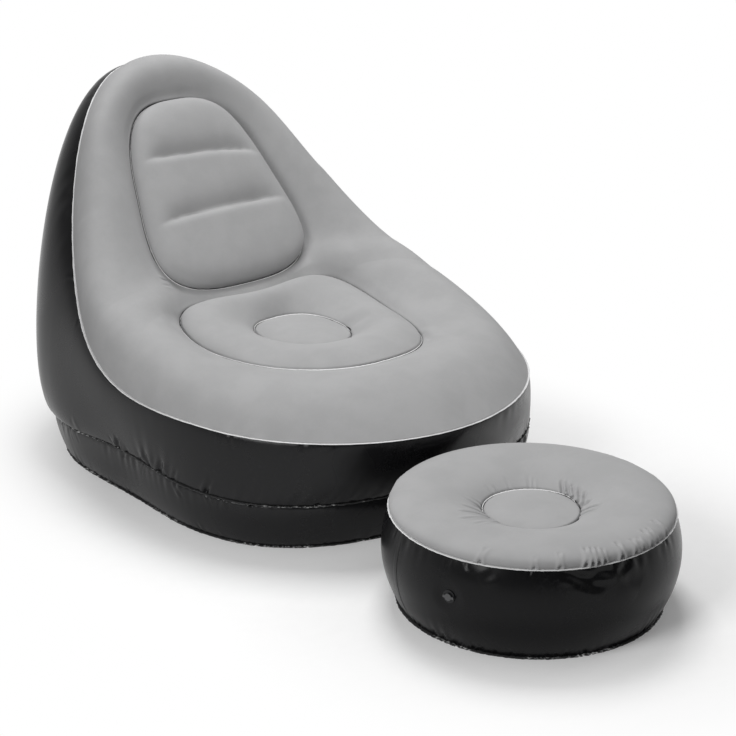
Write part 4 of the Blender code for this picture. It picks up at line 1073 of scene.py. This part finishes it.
# The footstool's top: a flocked ring that swells from the seam and dips to the welded middle.
# Its gathers run in from the front seam and fan out from the middle's weld.
start = np.array((STOOL_SEAM_RADIUS, STOOL_SEAM_HEIGHT + FLANGE_CLEAR))
first = start + (STOOL_CROWN_FLARE, STOOL_CROWN_RISE)
end = np.array((STOOL_CENTRE_RADIUS + WELD_CLEAR, STOOL_CENTRE_HEIGHT))
second = end + (STOOL_RECESS_RUN, STOOL_RECESS_RISE)
rows = np.array([round_row(*cubic(start, first, second, end, share)) for share in rowed(82, toward_ends=0.5)])
WIDER, DEEPER = 0.95, 2.4  # how much all gathers of the top grow alike
STOOL_SEAM_CREASES = [
    ((-0.201, -0.944, 0.168), (-0.190, -0.929, 0.185), 0.0030, 0.0016),
    ((-0.166, -0.966, 0.167), (-0.148, -0.944, 0.187), 0.0030, 0.0026),
    ((-0.156, -0.970, 0.167), (-0.140, -0.949, 0.187), 0.0028, 0.0028),
    ((-0.146, -0.973, 0.167), (-0.133, -0.953, 0.186), 0.0030, 0.0026),
    ((-0.135, -0.976, 0.167), (-0.128, -0.961, 0.183), 0.0028, 0.0022),
    ((-0.102, -0.983, 0.167), (-0.097, -0.961, 0.186), 0.0034, 0.0030),
    ((-0.073, -0.984, 0.167), (-0.069, -0.966, 0.184), 0.0032, 0.0026),
    ((-0.055, -0.983, 0.167), (-0.056, -0.968, 0.183), 0.0030, 0.0022),
    ((-0.036, -0.981, 0.167), (-0.034, -0.957, 0.187), 0.0032, 0.0030),
    ((-0.021, -0.978, 0.167), (-0.023, -0.957, 0.186), 0.0030, 0.0024),
    ((0.009, -0.970, 0.167), (0.005, -0.943, 0.187), 0.0034, 0.0032),
    ((-0.285, -0.851, 0.167), (-0.265, -0.846, 0.185), 0.0034, 0.0016),
    ((-0.233, -0.920, 0.167), (-0.226, -0.912, 0.181), 0.0030, 0.0010),
]
STOOL_MIDDLE_CREASES = [
    ((0.010, -0.736, 0.160), (0.030, -0.712, 0.171), 0.0032, 0.0024),
    ((0.010, -0.752, 0.160), (0.030, -0.722, 0.171), 0.0032, 0.0028),
    ((0.006, -0.768, 0.160), (0.031, -0.737, 0.172), 0.0032, 0.0030),
    ((0.003, -0.782, 0.160), (0.032, -0.752, 0.172), 0.0030, 0.0028),
    ((-0.003, -0.797, 0.160), (0.030, -0.770, 0.172), 0.0030, 0.0024),
    ((-0.008, -0.800, 0.159), (0.016, -0.800, 0.171), 0.0030, 0.0020),
    ((-0.018, -0.809, 0.159), (0.004, -0.834, 0.176), 0.0032, 0.0026),
    ((-0.030, -0.817, 0.159), (-0.012, -0.840, 0.174), 0.0030, 0.0022),
    ((-0.138, -0.694, 0.159), (-0.156, -0.664, 0.174), 0.0034, 0.0018),
    ((-0.150, -0.718, 0.160), (-0.180, -0.690, 0.178), 0.0034, 0.0022),
    ((-0.154, -0.732, 0.160), (-0.206, -0.712, 0.184), 0.0034, 0.0022),
    ((-0.156, -0.748, 0.160), (-0.230, -0.744, 0.188), 0.0036, 0.0022),
    ((-0.155, -0.762, 0.160), (-0.225, -0.772, 0.187), 0.0034, 0.0016),
]
for creases in (STOOL_SEAM_CREASES, STOOL_MIDDLE_CREASES):
    rows = creased(rows, [(*ends, WIDER * width, DEEPER * depth) for *ends, width, depth in creases])
HIDDEN_BEARING = math.radians(150)
draw = np.random.default_rng(66)
hidden_side = [k for k in range(STOOL_STEPS) if math.cos(stool_turns[k] - HIDDEN_BEARING) > 0]
rows = gathered(rows, draw, 16, reach=0.028, width=0.0030, depth=0.0018, top=False, spots=hidden_side)
rows = gathered(rows, draw, 10, reach=0.030, width=0.0030, depth=0.0014, spots=hidden_side)
rows = grooved(rows, round_row(STOOL_CENTRE_RADIUS + WELD_CLEAR, STOOL_CENTRE_HEIGHT))
stool_top = skin(net("stool_top", rows))
dressed(stool_top, grey_flock, "footstool_shell", "footstool_top")
rows = domed(round_row(STOOL_CENTRE_RADIUS - WELD_CLEAR, STOOL_CENTRE_HEIGHT), STOOL_CENTRE_CROWN)
stool_centre = skin(closed_dome("stool_centre", rows))
dressed(stool_centre, grey_flock, "footstool_shell", "footstool_centre")
bead("stool_centre_weld", round_row(STOOL_CENTRE_RADIUS, STOOL_CENTRE_HEIGHT), DOME_TOP, HIDDEN_TOP,
     "footstool_shell", "footstool_centre_weld", 45)

# The studio floor is pale paper that fades into pure white further off. It shows white to the eye
# and in the gloss, and keeps the object's soft shadow.
bpy.ops.mesh.primitive_grid_add(x_subdivisions=8, y_subdivisions=8, size=30, location=(0, 0, 0))
studio_floor = bpy.context.object
studio_floor.name = "studio_floor"
paper, tree, shader = new_look("pale floor")
shader.inputs["Roughness"].default_value = 0.95
shader.inputs["Specular IOR Level"].default_value = 0.0
FLOOR_GLOW, NEAR_FLOOR, FAR_FLOOR = 0.06, 0.68, 1.08
FLOOR_MIDDLE, FLOOR_NARROWING = (0, -0.3, 0), (1.5, 1, 1)


def vector_reckon(tree, operation, vector, other):
    """One sum on a vector socket and a fixed vector."""
    step = tree.nodes.new("ShaderNodeVectorMath")
    step.operation = operation
    tree.links.new(vector, step.inputs[0])
    step.inputs[1].default_value = other
    return step.outputs


spot = position(tree)
fleck = stretched(tree, noise(tree, spot, scale=40.0), 0.3, 0.7)
paper_colour = mixed(tree, fleck, (0.93, 0.93, 0.93), (0.94, 0.94, 0.94))
narrowed = vector_reckon(tree, "MULTIPLY", spot, FLOOR_NARROWING)["Vector"]
reach = vector_reckon(tree, "DISTANCE", narrowed, FLOOR_MIDDLE)["Value"]
far = stretched(tree, reach, NEAR_FLOOR, FAR_FLOOR)
tree.links.new(mixed(tree, far, paper_colour, (0, 0, 0)), shader.inputs["Base Color"])
eye = tree.nodes.new("ShaderNodeLightPath")
shader.inputs["Emission Color"].default_value = (1, 1, 1, 1)
seen = reckon(tree, "MAXIMUM", eye.outputs["Is Camera Ray"], eye.outputs["Is Glossy Ray"])
seen = reckon(tree, "MAXIMUM", seen, eye.outputs["Is Transmission Ray"])
glow = stretched(tree, reach, NEAR_FLOOR, FAR_FLOOR, FLOOR_GLOW, 1.0)
tree.links.new(reckon(tree, "MULTIPLY", seen, glow), shader.inputs["Emission Strength"])
studio_floor.data.materials.append(paper)

# The room is white and dimly lit. What shines in the vinyl is white at the sides and behind the
# object, and dark on the camera's side.
ROOM_LIGHT, DARK_SIDE = 0.31, 0.12
CAMERA_RISE, CAMERA_TURN = math.radians(20.84), math.radians(-39.45)
level_reach = math.cos(CAMERA_RISE)
behind = Vector((math.sin(CAMERA_TURN) * level_reach, -math.cos(CAMERA_TURN) * level_reach,
                 math.sin(CAMERA_RISE)))
world = bpy.data.worlds.new("studio")
bpy.context.scene.world = world
world.use_nodes = True
tree = world.node_tree
backdrop = tree.nodes["Background"]
eye = tree.nodes.new("ShaderNodeLightPath")
way = tree.nodes.new("ShaderNodeTexCoord").outputs["Generated"]
toward = vector_reckon(tree, "DOT_PRODUCT", way, behind)["Value"]
shine = stretched(tree, toward, -0.1, 0.75, 1.0, DARK_SIDE)
seen = reckon(tree, "MAXIMUM", eye.outputs["Is Camera Ray"], eye.outputs["Is Transmission Ray"])
seen = reckon(tree, "MAXIMUM", seen, reckon(tree, "MULTIPLY", eye.outputs["Is Glossy Ray"], shine))
backdrop.inputs["Color"].default_value = (1, 1, 1, 1)
room = reckon(tree, "MULTIPLY", eye.outputs["Is Diffuse Ray"], ROOM_LIGHT)
tree.links.new(reckon(tree, "MAXIMUM", seen, room), backdrop.inputs["Strength"])

# Three soft boxes light the set: one overhead from behind, a strong one at the left, which makes the
# shine on the black walls, and a weak one at the right.


def soft_lamp(name, place, aim, width, height, power):
    """An area lamp that looks at a place."""
    lamp = bpy.data.lights.new(name, "AREA")
    lamp.shape = "RECTANGLE"
    lamp.size, lamp.size_y, lamp.energy = width, height, power
    obj = bpy.data.objects.new(name, lamp)
    bpy.context.scene.collection.objects.link(obj)
    obj.location = place
    obj.rotation_euler = (Vector(aim) - Vector(place)).to_track_quat("-Z", "Y").to_euler()


soft_lamp("overhead box", (0.8, 0.7, 2.9), aim=(0, -0.2, 0.3), width=1.4, height=1.4, power=53)
soft_lamp("left box", (-2.6, -0.9, 1.6), aim=(0, 0, 0.3), width=1.2, height=1.6, power=44)
soft_lamp("right box", (2.8, -1.0, 1.6), aim=(0, -0.2, 0.2), width=1.2, height=1.6, power=11)

# The camera looks slightly down through a long lens, from the photograph's side.
CAMERA_DISTANCE = 3.84188
CAMERA_AIM = Vector((0.07107, -0.14230, 0.19789))
LENS_LENGTH, FILM_WIDTH = 97.826, 36
level = Vector((math.cos(CAMERA_TURN), math.sin(CAMERA_TURN), 0))
camera = bpy.data.objects.new("camera", bpy.data.cameras.new("camera"))
camera.data.lens = LENS_LENGTH
camera.data.sensor_width = FILM_WIDTH
camera.matrix_world = Matrix.Translation(CAMERA_AIM + behind * CAMERA_DISTANCE) @ Matrix(
    (level, behind.cross(level), behind)).transposed().to_4x4()
bpy.context.scene.collection.objects.link(camera)
bpy.context.scene.camera = camera
bpy.context.scene.view_settings.view_transform = "Standard"
